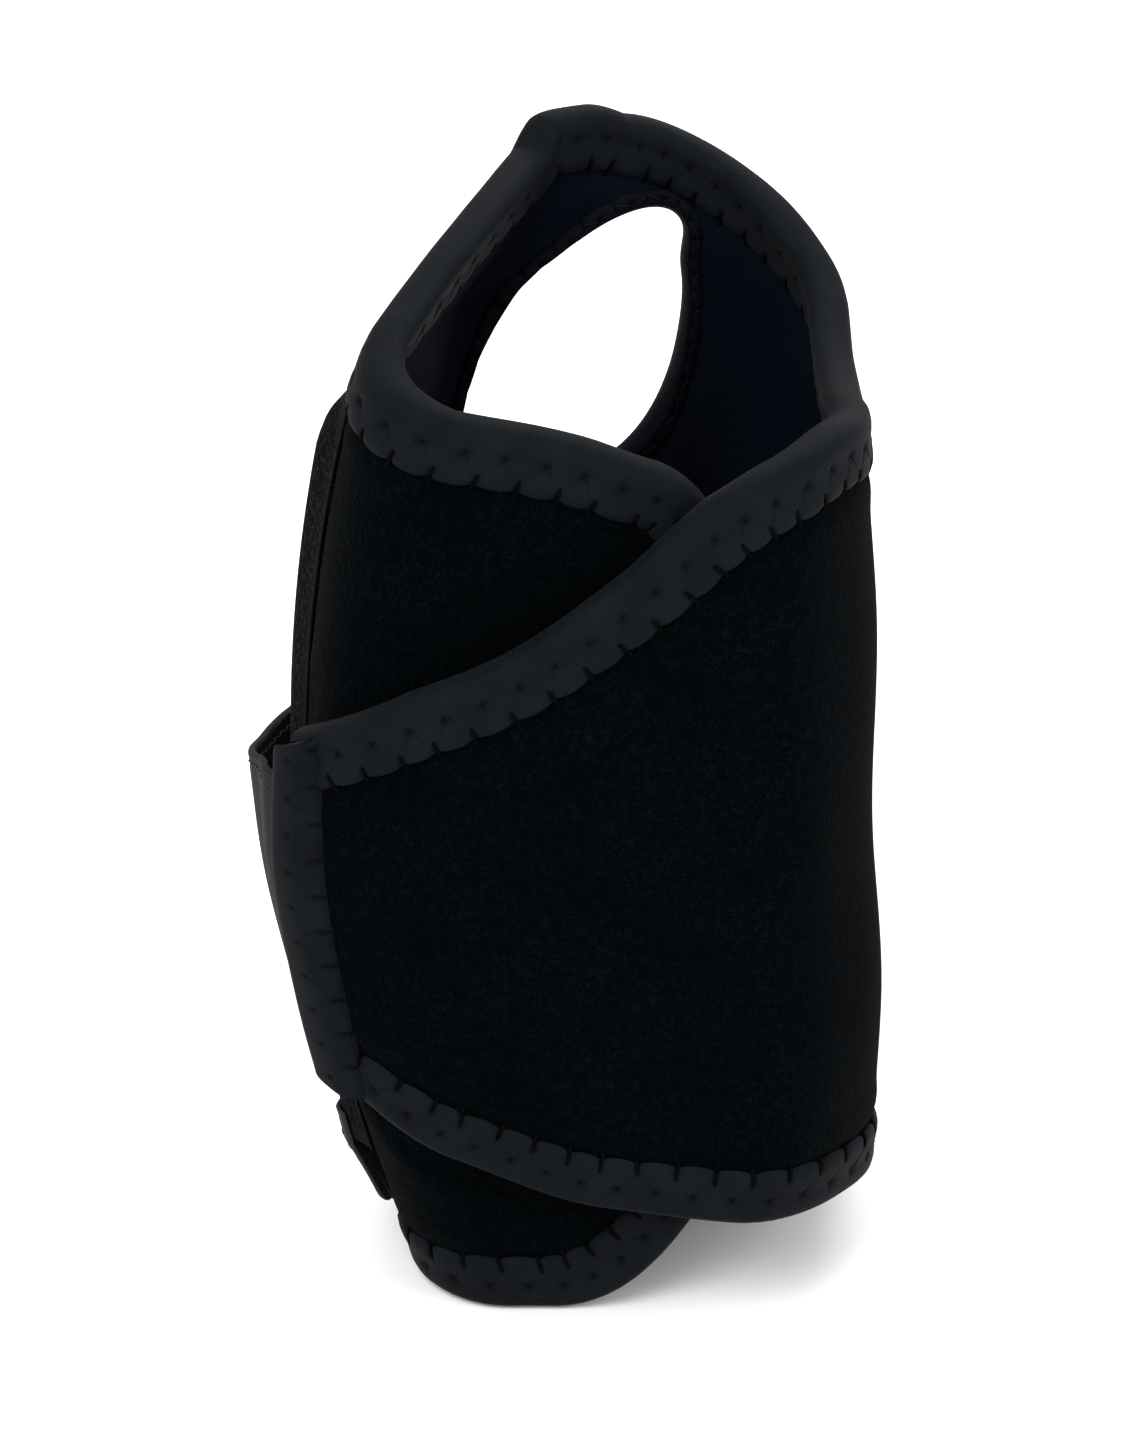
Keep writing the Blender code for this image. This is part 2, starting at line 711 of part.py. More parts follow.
def make_materials():
    charcoal = (0.035, 0.034, 0.038)
    return {
        "pile": make_material("neoprene_pile", (0.008, 0.010, 0.011), 0.95),
        "lining": make_material("navy_lining", (0.010, 0.013, 0.030), 0.85),
        "tape": make_material("edge_tape", charcoal, 0.7),
        "hole_tape": make_material("thumb_hole_tape", charcoal, 0.7),
        "pocket": make_material("pocket_loop", (0.012, 0.014, 0.015), 0.95),
        "flap_pile": make_material("flap_pile", (0.008, 0.010, 0.011), 0.95),
        "flap_lining": make_material("flap_lining", (0.010, 0.013, 0.030), 0.85),
        "flap_tape": make_material("flap_top_tape", charcoal, 0.7),
        "flap_low_tape": make_material("flap_bottom_tape", charcoal, 0.7),
        "strap_root": make_material("strap_root_weave", (0.040, 0.038, 0.043), 0.6),
        "anchor": make_material("anchor_tape", charcoal, 0.7),
        "strap": make_material("strap_weave", (0.040, 0.038, 0.043), 0.6),
        "strap_tail": make_material("strap_tail_weave", (0.040, 0.038, 0.043), 0.6),
        "hook": make_material("hook_tape", (0.020, 0.020, 0.022), 0.6),
        "stay": make_material("stay_aluminium", (0.62, 0.63, 0.65), 0.35, 1.0),
        "tip": make_material("stay_tip_upper", (0.015, 0.015, 0.016), 0.5),
        "tip_low": make_material("stay_tip_lower", (0.015, 0.015, 0.016), 0.5),
        "tab": make_material("tab_fabric", (0.045, 0.045, 0.047), 0.6),
        "tab_hook": make_material("tab_hook_tape", (0.020, 0.020, 0.022), 0.6),
        "cutter": make_material("cutter", (1.0, 0.2, 0.2), 0.5),
    }


def main():
    clear_scene()
    materials = make_materials()
    build_sleeve(materials)
    build_flap(materials)
    build_strap(materials)
    build_splint(materials)
    build_tab(materials)


main()
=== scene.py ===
"""Looks of the wrist support brace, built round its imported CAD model.

All soft pieces hang on the CAD model's guide surface.  Its plan section at a height z
is a rounded quadrilateral with a south, palm, north and east side.  A station q walks
round it: 0-1 south side, 1-2 corner, 2-3 palm side, 3-4 corner, 4-5 north side,
5-6 corner, 6-7 east side, 7-8 corner, 8-9 south side again (the outer flap), and so on.
A third value d is the distance outside the guide surface.  Lengths are in mm until
make_piece turns them into metres.
"""

import math
from collections import namedtuple

import bpy
import numpy as np
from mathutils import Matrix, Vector, kdtree


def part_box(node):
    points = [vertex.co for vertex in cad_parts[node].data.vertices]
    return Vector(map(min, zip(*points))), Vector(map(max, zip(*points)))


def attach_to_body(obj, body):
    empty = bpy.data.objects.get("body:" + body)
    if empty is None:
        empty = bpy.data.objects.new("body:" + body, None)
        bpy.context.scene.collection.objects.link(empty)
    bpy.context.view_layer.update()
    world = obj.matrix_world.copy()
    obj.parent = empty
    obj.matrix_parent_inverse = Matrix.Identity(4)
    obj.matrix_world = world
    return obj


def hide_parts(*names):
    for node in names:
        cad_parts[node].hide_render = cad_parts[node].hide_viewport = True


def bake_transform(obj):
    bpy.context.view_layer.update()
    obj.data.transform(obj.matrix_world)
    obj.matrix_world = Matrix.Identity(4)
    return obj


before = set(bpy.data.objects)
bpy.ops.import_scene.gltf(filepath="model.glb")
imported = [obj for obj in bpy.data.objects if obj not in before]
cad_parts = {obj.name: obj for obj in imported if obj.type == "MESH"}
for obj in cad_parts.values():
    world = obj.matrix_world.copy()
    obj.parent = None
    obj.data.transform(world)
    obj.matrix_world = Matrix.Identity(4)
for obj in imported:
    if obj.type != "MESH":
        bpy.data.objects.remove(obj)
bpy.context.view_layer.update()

MM = 0.001

# Plan section of the guide surface: distance of each side from the axis, by height.
SOUTH = ((0, 32.0), (60, 33.5), (150, 33.5), (184, 33.0))
NORTH = ((0, 34.0), (60, 35.5), (120, 35.0), (184, 32.9))
EAST = ((0, 38.8), (15, 39.7), (32, 40.9), (47, 41.0), (80, 39.8), (110, 38.9),
        (147, 35.8), (163, 33.9), (184, 32.6))
NORTH_TURN = ((0, 8.0), (60, 10.0), (120, 18.0), (184, 25.4))
PALM_TURN = ((0, 16.0), (150, 16.0), (168, 22.0), (184, 22.0))
PALM_INSET = ((0, 0.0), (148, 0.0), (152, 0.1), (160, -2.0), (168, -2.7), (184, 0.0))
CORNER_SOUTH_PALM = 15.0
CORNER_PALM_NORTH = ((0, 15.0), (135, 14.0), (165, 10.0), (184, 9.0))
CORNER_NORTH_EAST = 23.0
CORNER_EAST_SOUTH = 22.0
PALM_ARC_RADIUS = 260.0
PALM_ARC_HEIGHT = 88.0
PALM_ARC_REACH = 41.2

# Edges of the wrap, from the inner tail round to the end of the outer flap.
WRAP_TOP = ((0.0, 142.0), (0.25, 145.0), (0.5, 148.4), (1.0, 152.3), (1.6, 157.0), (2.0, 161.0),
            (2.5, 169.0), (3.0, 174.8), (3.6, 179.0), (4.4, 179.4), (5.0, 177.2), (5.5, 166.8),
            (6.0, 153.6), (6.5, 148.3), (6.8, 147.4), (7.1, 147.4), (7.45, 148.6), (7.8, 146.3),
            (8.0, 142.5), (8.35, 129.0), (8.7, 117.0), (9.0, 110.0), (9.3, 104.5), (9.6, 99.5))
WRAP_BOTTOM = ((0.0, 1.1), (5.0, 1.1), (5.6, 4.0), (6.0, 8.0), (6.5, 13.0), (6.8, 15.5),
               (7.2, 18.2), (7.6, 20.5), (8.0, 21.6), (8.5, 24.5), (9.0, 33.4), (9.3, 40.0),
               (9.6, 43.6))
WRAP_OFFSET = ((6.9, 0.0), (7.45, 3.0), (8.0, 7.2), (8.7, 7.2), (9.2, 6.0), (9.6, 5.8))
SEAM = 6.5
WRAP_END = 9.5
FLAP_END_PULL = 1.6
TAIL_LENGTH = 52.0
TAIL_TOP_CORNER = 12.0
TAIL_BOTTOM_CORNER = 42.0
TAIL_END_STATIONS = (0.0, 0.002, 0.006, 0.012, 0.02)

# Sheet build-up and mesh spacing.
FOAM = 3.0
PLY_GAP = 0.3
LINING = 0.8
SHEET = FOAM + PLY_GAP + LINING
SHEET_SPACING = 1.5
SHARP_ANGLE = 50.0
UV_TILE = 100.0

# Edge binding: a folded tape held by a zigzag stitch.
TAPE_WIDTH = 8.6
TAPE_ROLL = 1.1
TAPE_CROWN = 1.2
STITCH_PITCH = 6.0
STITCH_WIDTH = 4.7
STITCH_INSET = 0.5
BORDER_INSET = 0.1
TUCK = 0.25
SCALLOP = 0.32
TAPE_SPACING = 0.6
THREAD_RADIUS = 0.14
TICK_RADIUS = 0.27

# Thumb hole.
HOLE_STATION = 4.25
HOLE_SHIFT = 10.1
HOLE_HEIGHT = 140.0
HOLE_HALF_WIDTH = 18.6
HOLE_LEAN = 0.24
HOLE_TAPER = 0.12
HOLE_HALF_HEIGHT = 23.6
HOLE_SQUARENESS = 0.88
HOLE_TAPE_WIDTH = 2.6

# Palm stay, its pocket and the tab that closes it.
PALM_MIDDLE = -9.5
POCKET_HALF = 21.0
POCKET_CAVITY_HALF = 15.8
POCKET_MOUTH = 22.5
MOUTH_HEM = 4.4
POCKET_LIFT = 3.4
POCKET_WALL = 1.0
STAY_HALF = 15.0
STAY_INNER = 1.7
STAY_OUTER = 3.0
STAY_BOTTOM = 31.0
STAY_TOP = 140.0
TIP_LENGTH = 5.0
CAP_OVERLAP = 1.2
CAP_SKIN = 0.14
TAB_HALF = 18.0
TAB_TOP = 27.6
TAB_LEAN = 21.8
TAB_BOTTOM = 9.8
TAB_CORNER = 5.0
TAB_HEM = 1.6
TAB_THICK = 0.8
TAB_HOOK_HALF = 15.0
TAB_HOOK_LOW = 0.7
TAB_HOOK_HIGH = 5.2

# Strap.
STRAP_THICK = 1.4
STRAP_LOW = ((9.2, 46.5), (9.66, 44.5), (10.2, 36.5), (11.0, 32.5), (13.0, 32.0))
STRAP_HIGH = ((9.2, 97.0), (9.66, 94.5), (10.2, 89.5), (11.0, 88.0), (13.0, 87.5))
STRAP_OUTER = ((9.2, 9.3), (9.56, 8.9), (9.8, 6.2), (10.1, 6.4), (11.0, 6.4), (11.5, 5.2),
               (12.1, 3.6), (13.0, 3.4))
STRAP_FLARE = ((9.545, 0.0), (9.7, 1.2), (9.9, 3.6), (10.3, 5.2), (10.8, 3.6), (11.3, 0.0))
STRAP_DROP = ((9.45, 0.0), (9.62, 2.0), (9.8, 0.8), (10.1, 0.0))
STRAP_START = 9.392
STRAP_PEEL = 9.535
ROOT_FOLD = 1.25
ROOT_FOLD_END = 9.502
STRAP_HEIGHT = 55.0
STRAP_LEVEL = 60.0
STRAP_SEAM = 11.3
STRAP_FOLD = 11.55
STRAP_END = 12.85
ANCHOR_START = 9.335
ANCHOR_END = 9.505
HOOK_START = 12.12
HOOK_END = 12.80
HOOK_INSET = 4.0
HOOK_PITCH = 1.5
SEWING_PITCH = 2.8
SEWING_INSET = 2.0

# Camera: lens in mm, tilt in degrees, distance in metres and the point it looks at.
CAMERA_LENS = 111.0
CAMERA_ELEVATION = 25.0
CAMERA_DISTANCE = 0.7
CAMERA_AIM_X = -7.3
CAMERA_AIM_HEIGHT = 90.0


# ---- Guide surface ---------------------------------------------------------------------


def profile(table, value):
    """Monotone cubic through the table's points, held level beyond its ends."""
    xs, ys = np.array(table, float).T
    step = np.diff(xs)
    chord = np.diff(ys) / step
    product = chord[:-1] * chord[1:]
    total = np.where(product > 0, chord[:-1] + chord[1:], 1.0)
    inner = np.where(product > 0, 2 * product / total, 0.0)
    slope = np.concatenate((chord[:1], inner, chord[-1:]))
    x = np.clip(value, xs[0], xs[-1])
    i = np.clip(np.searchsorted(xs, x, side="right") - 1, 0, len(step) - 1)
    t = (x - xs[i]) / step[i]
    result = (1 + 2 * t) * (1 - t) ** 2 * ys[i] + t * t * (3 - 2 * t) * ys[i + 1]
    return result + step[i] * (t * (1 - t) ** 2 * slope[i] + t * t * (t - 1) * slope[i + 1])


def guide_sides(z, d):
    """Outward direction, distance and following corner radius of the four sides."""
    palm_turn = np.radians(profile(PALM_TURN, z))
    north_turn = np.radians(profile(NORTH_TURN, z))
    zero = np.zeros_like(z)
    normal = np.stack([
        np.stack([zero, zero - 1], -1),
        np.stack([-np.cos(palm_turn), np.sin(palm_turn)], -1),
        np.stack([-np.sin(north_turn), np.cos(north_turn)], -1),
        np.stack([zero + 1, zero], -1),
    ], -2)
    sag = PALM_ARC_RADIUS - np.sqrt((PALM_ARC_RADIUS + d) ** 2 - (z - PALM_ARC_HEIGHT) ** 2)
    palm = PALM_ARC_REACH - sag + profile(PALM_INSET, z)
    distance = np.stack([profile(SOUTH, z) + d, palm, profile(NORTH, z) + d,
                         profile(EAST, z) + d], -1)
    radius = np.stack([CORNER_SOUTH_PALM + d, profile(CORNER_PALM_NORTH, z) + d,
                       CORNER_NORTH_EAST + d, CORNER_EAST_SOUTH + d], -1)
    return normal, distance, radius


def guide_section(z, d):
    """Side directions, corner radii and corner centres, start angles and sweeps."""
    normal, distance, radius = guide_sides(z, d)
    following = np.roll(normal, -1, axis=1)
    a = distance - radius
    b = np.roll(distance, -1, axis=1) - radius
    det = normal[..., 0] * following[..., 1] - normal[..., 1] * following[..., 0]
    x = (a * following[..., 1] - b * normal[..., 1]) / det
    y = (normal[..., 0] * b - following[..., 0] * a) / det
    start = np.arctan2(normal[..., 1], normal[..., 0])
    sweep = (start - np.arctan2(following[..., 1], following[..., 0])) % (2 * math.pi)
    return normal, radius, np.stack([x, y], -1), start, sweep


def place(q, z, d):
    """Points of the guide surface at stations q and heights z, moved out by d."""
    q, z, d = np.broadcast_arrays(np.asarray(q, float), np.asarray(z, float),
                                  np.asarray(d, float))
    shape = q.shape
    q, z, d = q.ravel(), z.ravel(), d.ravel()
    normal, radius, centre, start, sweep = guide_section(z, d)
    rows = np.arange(len(q))
    whole = np.floor(q)
    part = (q - whole)[:, None]
    step = whole.astype(int) % 8
    side = step // 2
    before = (side - 1) % 4
    out = normal[rows, side]
    first = centre[rows, before] + out * radius[rows, before, None]
    last = centre[rows, side] + out * radius[rows, side, None]
    angle = start[rows, side, None] - sweep[rows, side, None] * part
    ray = np.concatenate([np.cos(angle), np.sin(angle)], -1)
    arc = centre[rows, side] + radius[rows, side, None] * ray
    flat = np.where((step % 2 == 0)[:, None], first + (last - first) * part, arc)
    return np.column_stack([flat, z]).reshape(shape + (3,))


def station_lengths(z, d):
    """Lengths round the section of the eight whole station steps."""
    normal, radius, centre, _, sweep = guide_section(z, d)
    before = np.roll(centre, 1, axis=1) + normal * np.roll(radius, 1, axis=1)[..., None]
    after = centre + normal * radius[..., None]
    straight = np.linalg.norm(after - before, axis=-1)
    return np.stack([straight, radius * sweep], -1).reshape(len(z), 8)


def walk(q, z, distance, d=0.0):
    """Stations reached from q by going a distance round the section at height z."""
    q, z, distance, d = np.broadcast_arrays(*(np.asarray(v, float)
                                              for v in (q, z, distance, d)))
    shape = q.shape
    q, z, distance, d = (v.ravel() for v in (q, z, distance, d))
    lengths = station_lengths(z, d)
    reach = np.concatenate([np.zeros((len(q), 1)), np.cumsum(lengths, axis=1)], axis=1)
    girth = reach[:, -1]
    rows = np.arange(len(q))
    step = np.floor(q).astype(int)
    here = step // 8 * girth + reach[rows, step % 8] + (q - step) * lengths[rows, step % 8]
    there = here + distance
    lap = np.floor(there / girth)
    rest = there - lap * girth
    found = np.clip((reach[:, 1:] <= rest[:, None]).sum(1), 0, 7)
    result = lap * 8 + found + (rest - reach[rows, found]) / lengths[rows, found]
    return result.reshape(shape)


def palm_station(w, z):
    """Station of the line that stays a distance w along the palm side."""
    w, z = np.broadcast_arrays(np.asarray(w, float), np.asarray(z, float))
    turn = np.radians(profile(PALM_TURN, z))
    first = place(2.0, z, 0.0)
    reached = np.sin(turn) * first[..., 0] + np.cos(turn) * first[..., 1]
    return walk(2.0, z, w - reached)


def place_palm(w, z, d):
    return place(palm_station(w, z), z, d)


def corner_rise(distance, radius):
    """How far a rounded corner has cut in at a distance from the sheet's end."""
    inside = np.clip(radius - distance, 0.0, radius)
    return radius - np.sqrt(radius ** 2 - inside ** 2)


def wrap_top(q):
    return profile(WRAP_TOP, q) - corner_rise(q * TAIL_LENGTH, TAIL_TOP_CORNER)


def wrap_bottom(q):
    return profile(WRAP_BOTTOM, q) + corner_rise(q * TAIL_LENGTH, TAIL_BOTTOM_CORNER)


def wrap_offset(q):
    return profile(WRAP_OFFSET, q)


def slack(q, z):
    """Slow waves of the soft sheet, the same for the layers that lie on each other.

    The palm side stays true, because the stay holds it straight.
    """
    p = place(q, z, 0.0)
    x, y, h = p[..., 0], p[..., 1], p[..., 2]
    wave = 0.34 * np.sin(0.115 * x + 0.7) * np.sin(0.083 * h + 1.1)
    wave += 0.24 * np.sin(0.150 * y + 0.052 * h + 2.0)
    wave += 0.16 * np.sin(0.210 * x - 0.121 * h)
    lap = np.mod(q, 8.0)
    from_palm = np.abs(lap - 2.5)
    hold = np.clip((from_palm - 0.5) / 0.7, 0.0, 1.0)
    pull = FLAP_END_PULL * np.exp(-((q - WRAP_END) / 0.3) ** 2) * np.clip((80 - z) / 35, 0, 1)
    return wave * hold * hold * (3 - 2 * hold) - pull


def soft_place(q, z, d):
    """Points on the slack sheet: d counts from the wrap's own offset at q."""
    return place(q, z, wrap_offset(q) + d + slack(q, z))


# ---- Mesh helpers ----------------------------------------------------------------------

CAD_LOW, CAD_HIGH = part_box("sleeve_shell")
SHIFT = np.array([CAD_HIGH.x / MM - max(v for _, v in EAST),
                  CAD_LOW.y / MM + max(v for _, v in SOUTH), 0.0])


def make_piece(name, points, faces, material, uv=None):
    """Mesh object from points in the guide's mm; uv is given in mm for each point."""
    mesh = bpy.data.meshes.new(name)
    mesh.from_pydata(((np.asarray(points).reshape(-1, 3) + SHIFT) * MM).tolist(), [], faces)
    if material is not None:
        mesh.materials.append(material)
    if uv is not None:
        corners = np.zeros(len(mesh.loops), int)
        mesh.loops.foreach_get("vertex_index", corners)
        layer = mesh.uv_layers.new(name="cloth")
        layer.data.foreach_set("uv", (uv.reshape(-1, 2)[corners] / UV_TILE).ravel())
    mesh.validate()
    mesh.shade_smooth()
    mesh.set_sharp_from_angle(angle=math.radians(SHARP_ANGLE))
    obj = bpy.data.objects.new(name, mesh)
    bpy.context.scene.collection.objects.link(obj)
    return obj


def path_length(points):
    """Distance reached along a path at each of its points."""
    steps = np.linalg.norm(np.diff(points, axis=0), axis=1)
    return np.concatenate([[0.0], np.cumsum(steps)])


def grid_uv(u, v):
    """Cloth coordinates of a grid from its distances one way and the other."""
    return np.stack(np.broadcast_arrays(u, v), -1)


def attach(pieces, slot, where, *nodes):
    """Hang pieces on a body, or else bake their placement into their meshes; hide the CAD nodes
    they replace.
    """
    for piece in pieces:
        if isinstance(where, str):
            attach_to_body(piece, where)
        else:
            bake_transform(piece)
    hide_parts(*nodes)


def set_attribute(obj, name, values):
    layer = obj.data.attributes.new(name, "FLOAT", "POINT")
    layer.data.foreach_set("value", np.asarray(values, np.float32).ravel())


def slab_faces(columns, rows):
    """Faces of a closed slab whose outer points come first, then its inner points."""
    half = columns * rows
    i, j = np.meshgrid(np.arange(columns - 1), np.arange(rows - 1), indexing="ij")
    a = (i * rows + j).ravel()
    b = a + rows
    faces = np.column_stack([a, a + 1, b + 1, b]).tolist()
    faces += np.column_stack([half + a, half + b, half + b + 1, half + a + 1]).tolist()
    low = np.arange(columns - 1) * rows
    faces += np.column_stack([low, low + rows, half + low + rows, half + low]).tolist()
    top = low + rows - 1
    faces += np.column_stack([top, half + top, half + top + rows, top + rows]).tolist()
    left = np.arange(rows - 1)
    faces += np.column_stack([left, half + left, half + left + 1, left + 1]).tolist()
    right = left + (columns - 1) * rows
    faces += np.column_stack([right, right + 1, half + right + 1, half + right]).tolist()
    return faces


def slab(name, outer, inner, material, uv):
    """Closed slab between two grids of points, both columns x rows x 3."""
    columns, rows = outer.shape[:2]
    points = np.concatenate([outer.reshape(-1, 3), inner.reshape(-1, 3)])
    return make_piece(name, points, slab_faces(columns, rows), material,
                      np.concatenate([uv.reshape(-1, 2)] * 2))


def tube_parts(path, radius, sides=6):
    """Points and faces of a closed tube along a path, its ends capped."""
    path = np.asarray(path, float)
    along = np.gradient(path, axis=0)
    along /= np.linalg.norm(along, axis=1)[:, None]
    helper = np.where(np.abs(along[:, 2:3]) > 0.9, [[1.0, 0, 0]], [[0, 0, 1.0]])
    across = np.cross(along, helper)
    across /= np.linalg.norm(across, axis=1)[:, None]
    other = np.cross(along, across)
    angle = np.arange(sides) * 2 * math.pi / sides
    turn = angle[None, :, None]
    ring = np.cos(turn) * across[:, None] + np.sin(turn) * other[:, None]
    points = path[:, None] + radius * ring
    faces = []
    for i in range(len(path) - 1):
        for k in range(sides):
            n = (k + 1) % sides
            faces.append((i * sides + k, i * sides + n, (i + 1) * sides + n, (i + 1) * sides + k))
    faces.append(tuple(range(sides))[::-1])
    faces.append(tuple((len(path) - 1) * sides + k for k in range(sides)))
    return points.reshape(-1, 3), faces


def tubes(name, paths, radius, material, sides=6):
    """One piece made of a separate closed tube along each path."""
    points = []
    faces = []
    count = 0
    for path in paths:
        tube, tube_faces = tube_parts(path, radius, sides)
        points.append(tube)
        faces += [tuple(k + count for k in face) for face in tube_faces]
        count += len(tube)
    return make_piece(name, np.concatenate(points), faces, material)


# ---- Materials -------------------------------------------------------------------------


class Shader:
    """A Principled material and the few node patterns that the brace's cloths share."""

    def __init__(self, name, colour, roughness, **sockets):
        self.material = bpy.data.materials.new(name)
        self.material.use_nodes = True
        self.tree = self.material.node_tree
        self.bsdf = self.tree.nodes["Principled BSDF"]
        self.bsdf.inputs["Base Color"].default_value = (*colour, 1.0)
        self.bsdf.inputs["Roughness"].default_value = roughness
        for socket, value in sockets.items():
            self.bsdf.inputs[socket.replace("_", " ")].default_value = value
        self.height = None

    def node(self, kind, inputs=None, **settings):
        node = self.tree.nodes.new(kind)
        for key, value in settings.items():
            setattr(node, key, value)
        for key, value in (inputs or {}).items():
            if isinstance(value, bpy.types.NodeSocket):
                self.tree.links.new(value, node.inputs[key])
            else:
                node.inputs[key].default_value = value
        return node

    def math(self, operation, a, b=0.0):
        return self.node("ShaderNodeMath", {0: a, 1: b}, operation=operation).outputs[0]

    def place(self):
        """Position in mm."""
        point = self.node("ShaderNodeTexCoord").outputs["Object"]
        return self.node("ShaderNodeVectorMath", {0: point, 3: 1 / MM},
                         operation="SCALE").outputs[0]

    def cloth(self, axis):
        """Distance in mm along the cloth (0) or across it (1)."""
        uv = self.node("ShaderNodeUVMap", uv_map="cloth").outputs[0]
        split = self.node("ShaderNodeSeparateXYZ", {0: uv}).outputs[axis]
        return self.math("MULTIPLY", split, UV_TILE)

    def grain(self, size, detail=3.0, rough=0.55):
        """Noise of about the given grain size in mm."""
        return self.node("ShaderNodeTexNoise", {"Vector": self.place(), "Scale": 0.6 / size,
                                                "Detail": detail,
                                                "Roughness": rough}).outputs["Fac"]

    def cells(self, size):
        """Distance from the middle of loops of about the given size in mm."""
        return self.node("ShaderNodeTexVoronoi", {"Vector": self.place(), "Scale": 1.0 / size},
                         feature="F1").outputs["Distance"]

    def ribs(self, axis, pitch):
        """Smooth ribs across the cloth's axis, 0 to 1."""
        phase = self.math("MULTIPLY", self.cloth(axis), 2 * math.pi / pitch)
        wave = self.math("SINE", phase)
        return self.math("MULTIPLY_ADD", wave, 0.5)

    def spread(self, value, low, high):
        return self.node("ShaderNodeMapRange", {"Value": value, "From Min": low,
                                                "From Max": high},
                         interpolation_type="SMOOTHSTEP").outputs["Result"]

    def attribute(self, name):
        return self.node("ShaderNodeAttribute", attribute_name=name).outputs["Fac"]

    def tint(self, fac, first, second):
        """Base colour from the first to the second, a colour or a socket, as fac goes to 1."""
        ends = [c if isinstance(c, bpy.types.NodeSocket) else (*c, 1.0) for c in (first, second)]
        mixed = self.node("ShaderNodeMix", {0: fac, 6: ends[0], 7: ends[1]},
                          data_type="RGBA").outputs[2]
        self.tree.links.new(mixed, self.bsdf.inputs["Base Color"])
        return mixed

    def weave(self, pitches, strength, patch, low, high):
        """Ribs along and across the cloth, and their product made patchy."""
        ribs = [self.ribs(axis, pitch) for axis, pitch in enumerate(pitches)]
        both = self.math("MULTIPLY_ADD", self.math("MULTIPLY", *ribs), strength)
        return ribs, self.math("MULTIPLY", both, self.spread(patch, low, high))

    def rough(self, fac, low, high):
        value = self.node("ShaderNodeMapRange", {"Value": fac, "To Min": low,
                                                 "To Max": high}).outputs["Result"]
        self.tree.links.new(value, self.bsdf.inputs["Roughness"])

    def bump(self, height, depth):
        """Raise the surface by up to depth mm where height is 1."""
        inputs = {"Height": height, "Distance": depth * MM, "Strength": 1.0}
        if self.height is not None:
            inputs["Normal"] = self.height
        self.height = self.node("ShaderNodeBump", inputs).outputs[0]
        self.tree.links.new(self.height, self.bsdf.inputs["Normal"])


def pile_material(name):
    """Brushed loop face of the neoprene: near black, matt, with a fine broken grain."""
    s = Shader(name, (0.004, 0.005, 0.006), 0.92, Specular_IOR_Level=0.010, Sheen_Weight=0.012,
               Sheen_Roughness=0.35, Sheen_Tint=(0.88, 0.86, 0.95, 1.0))
    fine = s.grain(0.32, 4.0, 0.7)
    loops = s.cells(0.55)
    clump = s.grain(0.8, 3.0, 0.6)
    patch = s.grain(9.0, 2.0)
    mottle = s.math("MULTIPLY", s.spread(fine, 0.38, 0.66), s.spread(clump, 0.25, 0.72))
    mottle = s.math("MULTIPLY", mottle, s.spread(patch, 0.0, 0.6))
    s.tint(mottle, (0.0003, 0.0007, 0.0009), (0.0016, 0.0031, 0.0041))
    s.rough(fine, 0.82, 1.0)
    s.bump(clump, 0.30)
    s.bump(loops, 0.14)
    s.bump(fine, 0.25)
    return s.material


def pocket_material():
    """Unbroken loop of the stay's pocket: coarser and lighter than the pile."""
    s = Shader("loop_cloth", (0.009, 0.011, 0.012), 0.95, Specular_IOR_Level=0.02,
               Sheen_Weight=0.012, Sheen_Roughness=0.5, Sheen_Tint=(0.85, 0.85, 0.9, 1.0))
    loops = s.cells(0.85)
    fine = s.grain(0.45, 3.0, 0.65)
    speck = s.math("MULTIPLY", s.spread(loops, 0.65, 0.10), s.spread(fine, 0.36, 0.62))
    cloth = s.tint(speck, (0.0012, 0.0016, 0.0020), (0.0100, 0.0125, 0.0145))
    s.tint(s.attribute("selvage"), cloth, (0.0048, 0.0058, 0.0068))
    s.bump(loops, -0.35)
    s.bump(fine, 0.25)
    return s.material


def lining_material(name):
    """Navy jersey next to the skin: fine wales and courses."""
    s = Shader(name, (0.006, 0.008, 0.018), 0.85, Specular_IOR_Level=0.01, Sheen_Weight=0.004,
               Sheen_Roughness=0.5, Sheen_Tint=(0.7, 0.75, 1.0, 1.0))
    (wales, courses), mix = s.weave((0.75, 0.55), 0.6, s.grain(12.0, 2.0), 0.1, 0.7)
    s.tint(mix, (0.0008, 0.0012, 0.0025), (0.0034, 0.0050, 0.0100))
    s.bump(wales, 0.08)
    s.bump(courses, 0.05)
    return s.material


def tape_material(name, light=(0.0068, 0.0084, 0.0102)):
    """Smooth knitted binding: charcoal, a soft lustre, painted shade in the needle holes."""
    s = Shader(name, (0.007, 0.007, 0.009), 0.6, Specular_IOR_Level=0.022, Sheen_Weight=0.014,
               Sheen_Roughness=0.35, Sheen_Tint=(0.90, 0.88, 0.95, 1.0))
    soft = s.grain(5.0, 3.0)
    lint = s.grain(0.35, 3.0, 0.6)
    (wales, rows), mix = s.weave((0.42, 0.5), 0.55, soft, 0.05, 0.75)
    base = s.tint(mix, tuple(0.4 * v for v in light), light)
    # Painted shade: the stitch attribute darkens the base colour to near black in the needle slits
    # and dots, standing in for their shadow.
    s.tint(s.math("MULTIPLY", s.attribute("stitch"), 0.92), base, (0.0008, 0.0008, 0.001))
    s.rough(soft, 0.52, 0.72)
    s.bump(wales, 0.045)
    s.bump(rows, 0.03)
    s.bump(lint, 0.06)
    return s.material


def grained_material(name, colour, roughness, size, dark, light, depth=0.0, gloss=None,
                     **sockets):
    """Plain stuff whose colour, height and roughness vary with one grain."""
    s = Shader(name, colour, roughness, **sockets)
    grain = s.grain(size, 2.0)
    s.tint(grain, dark, light)
    if gloss:
        s.rough(grain, *gloss)
    if depth:
        s.bump(grain, depth)
    return s.material


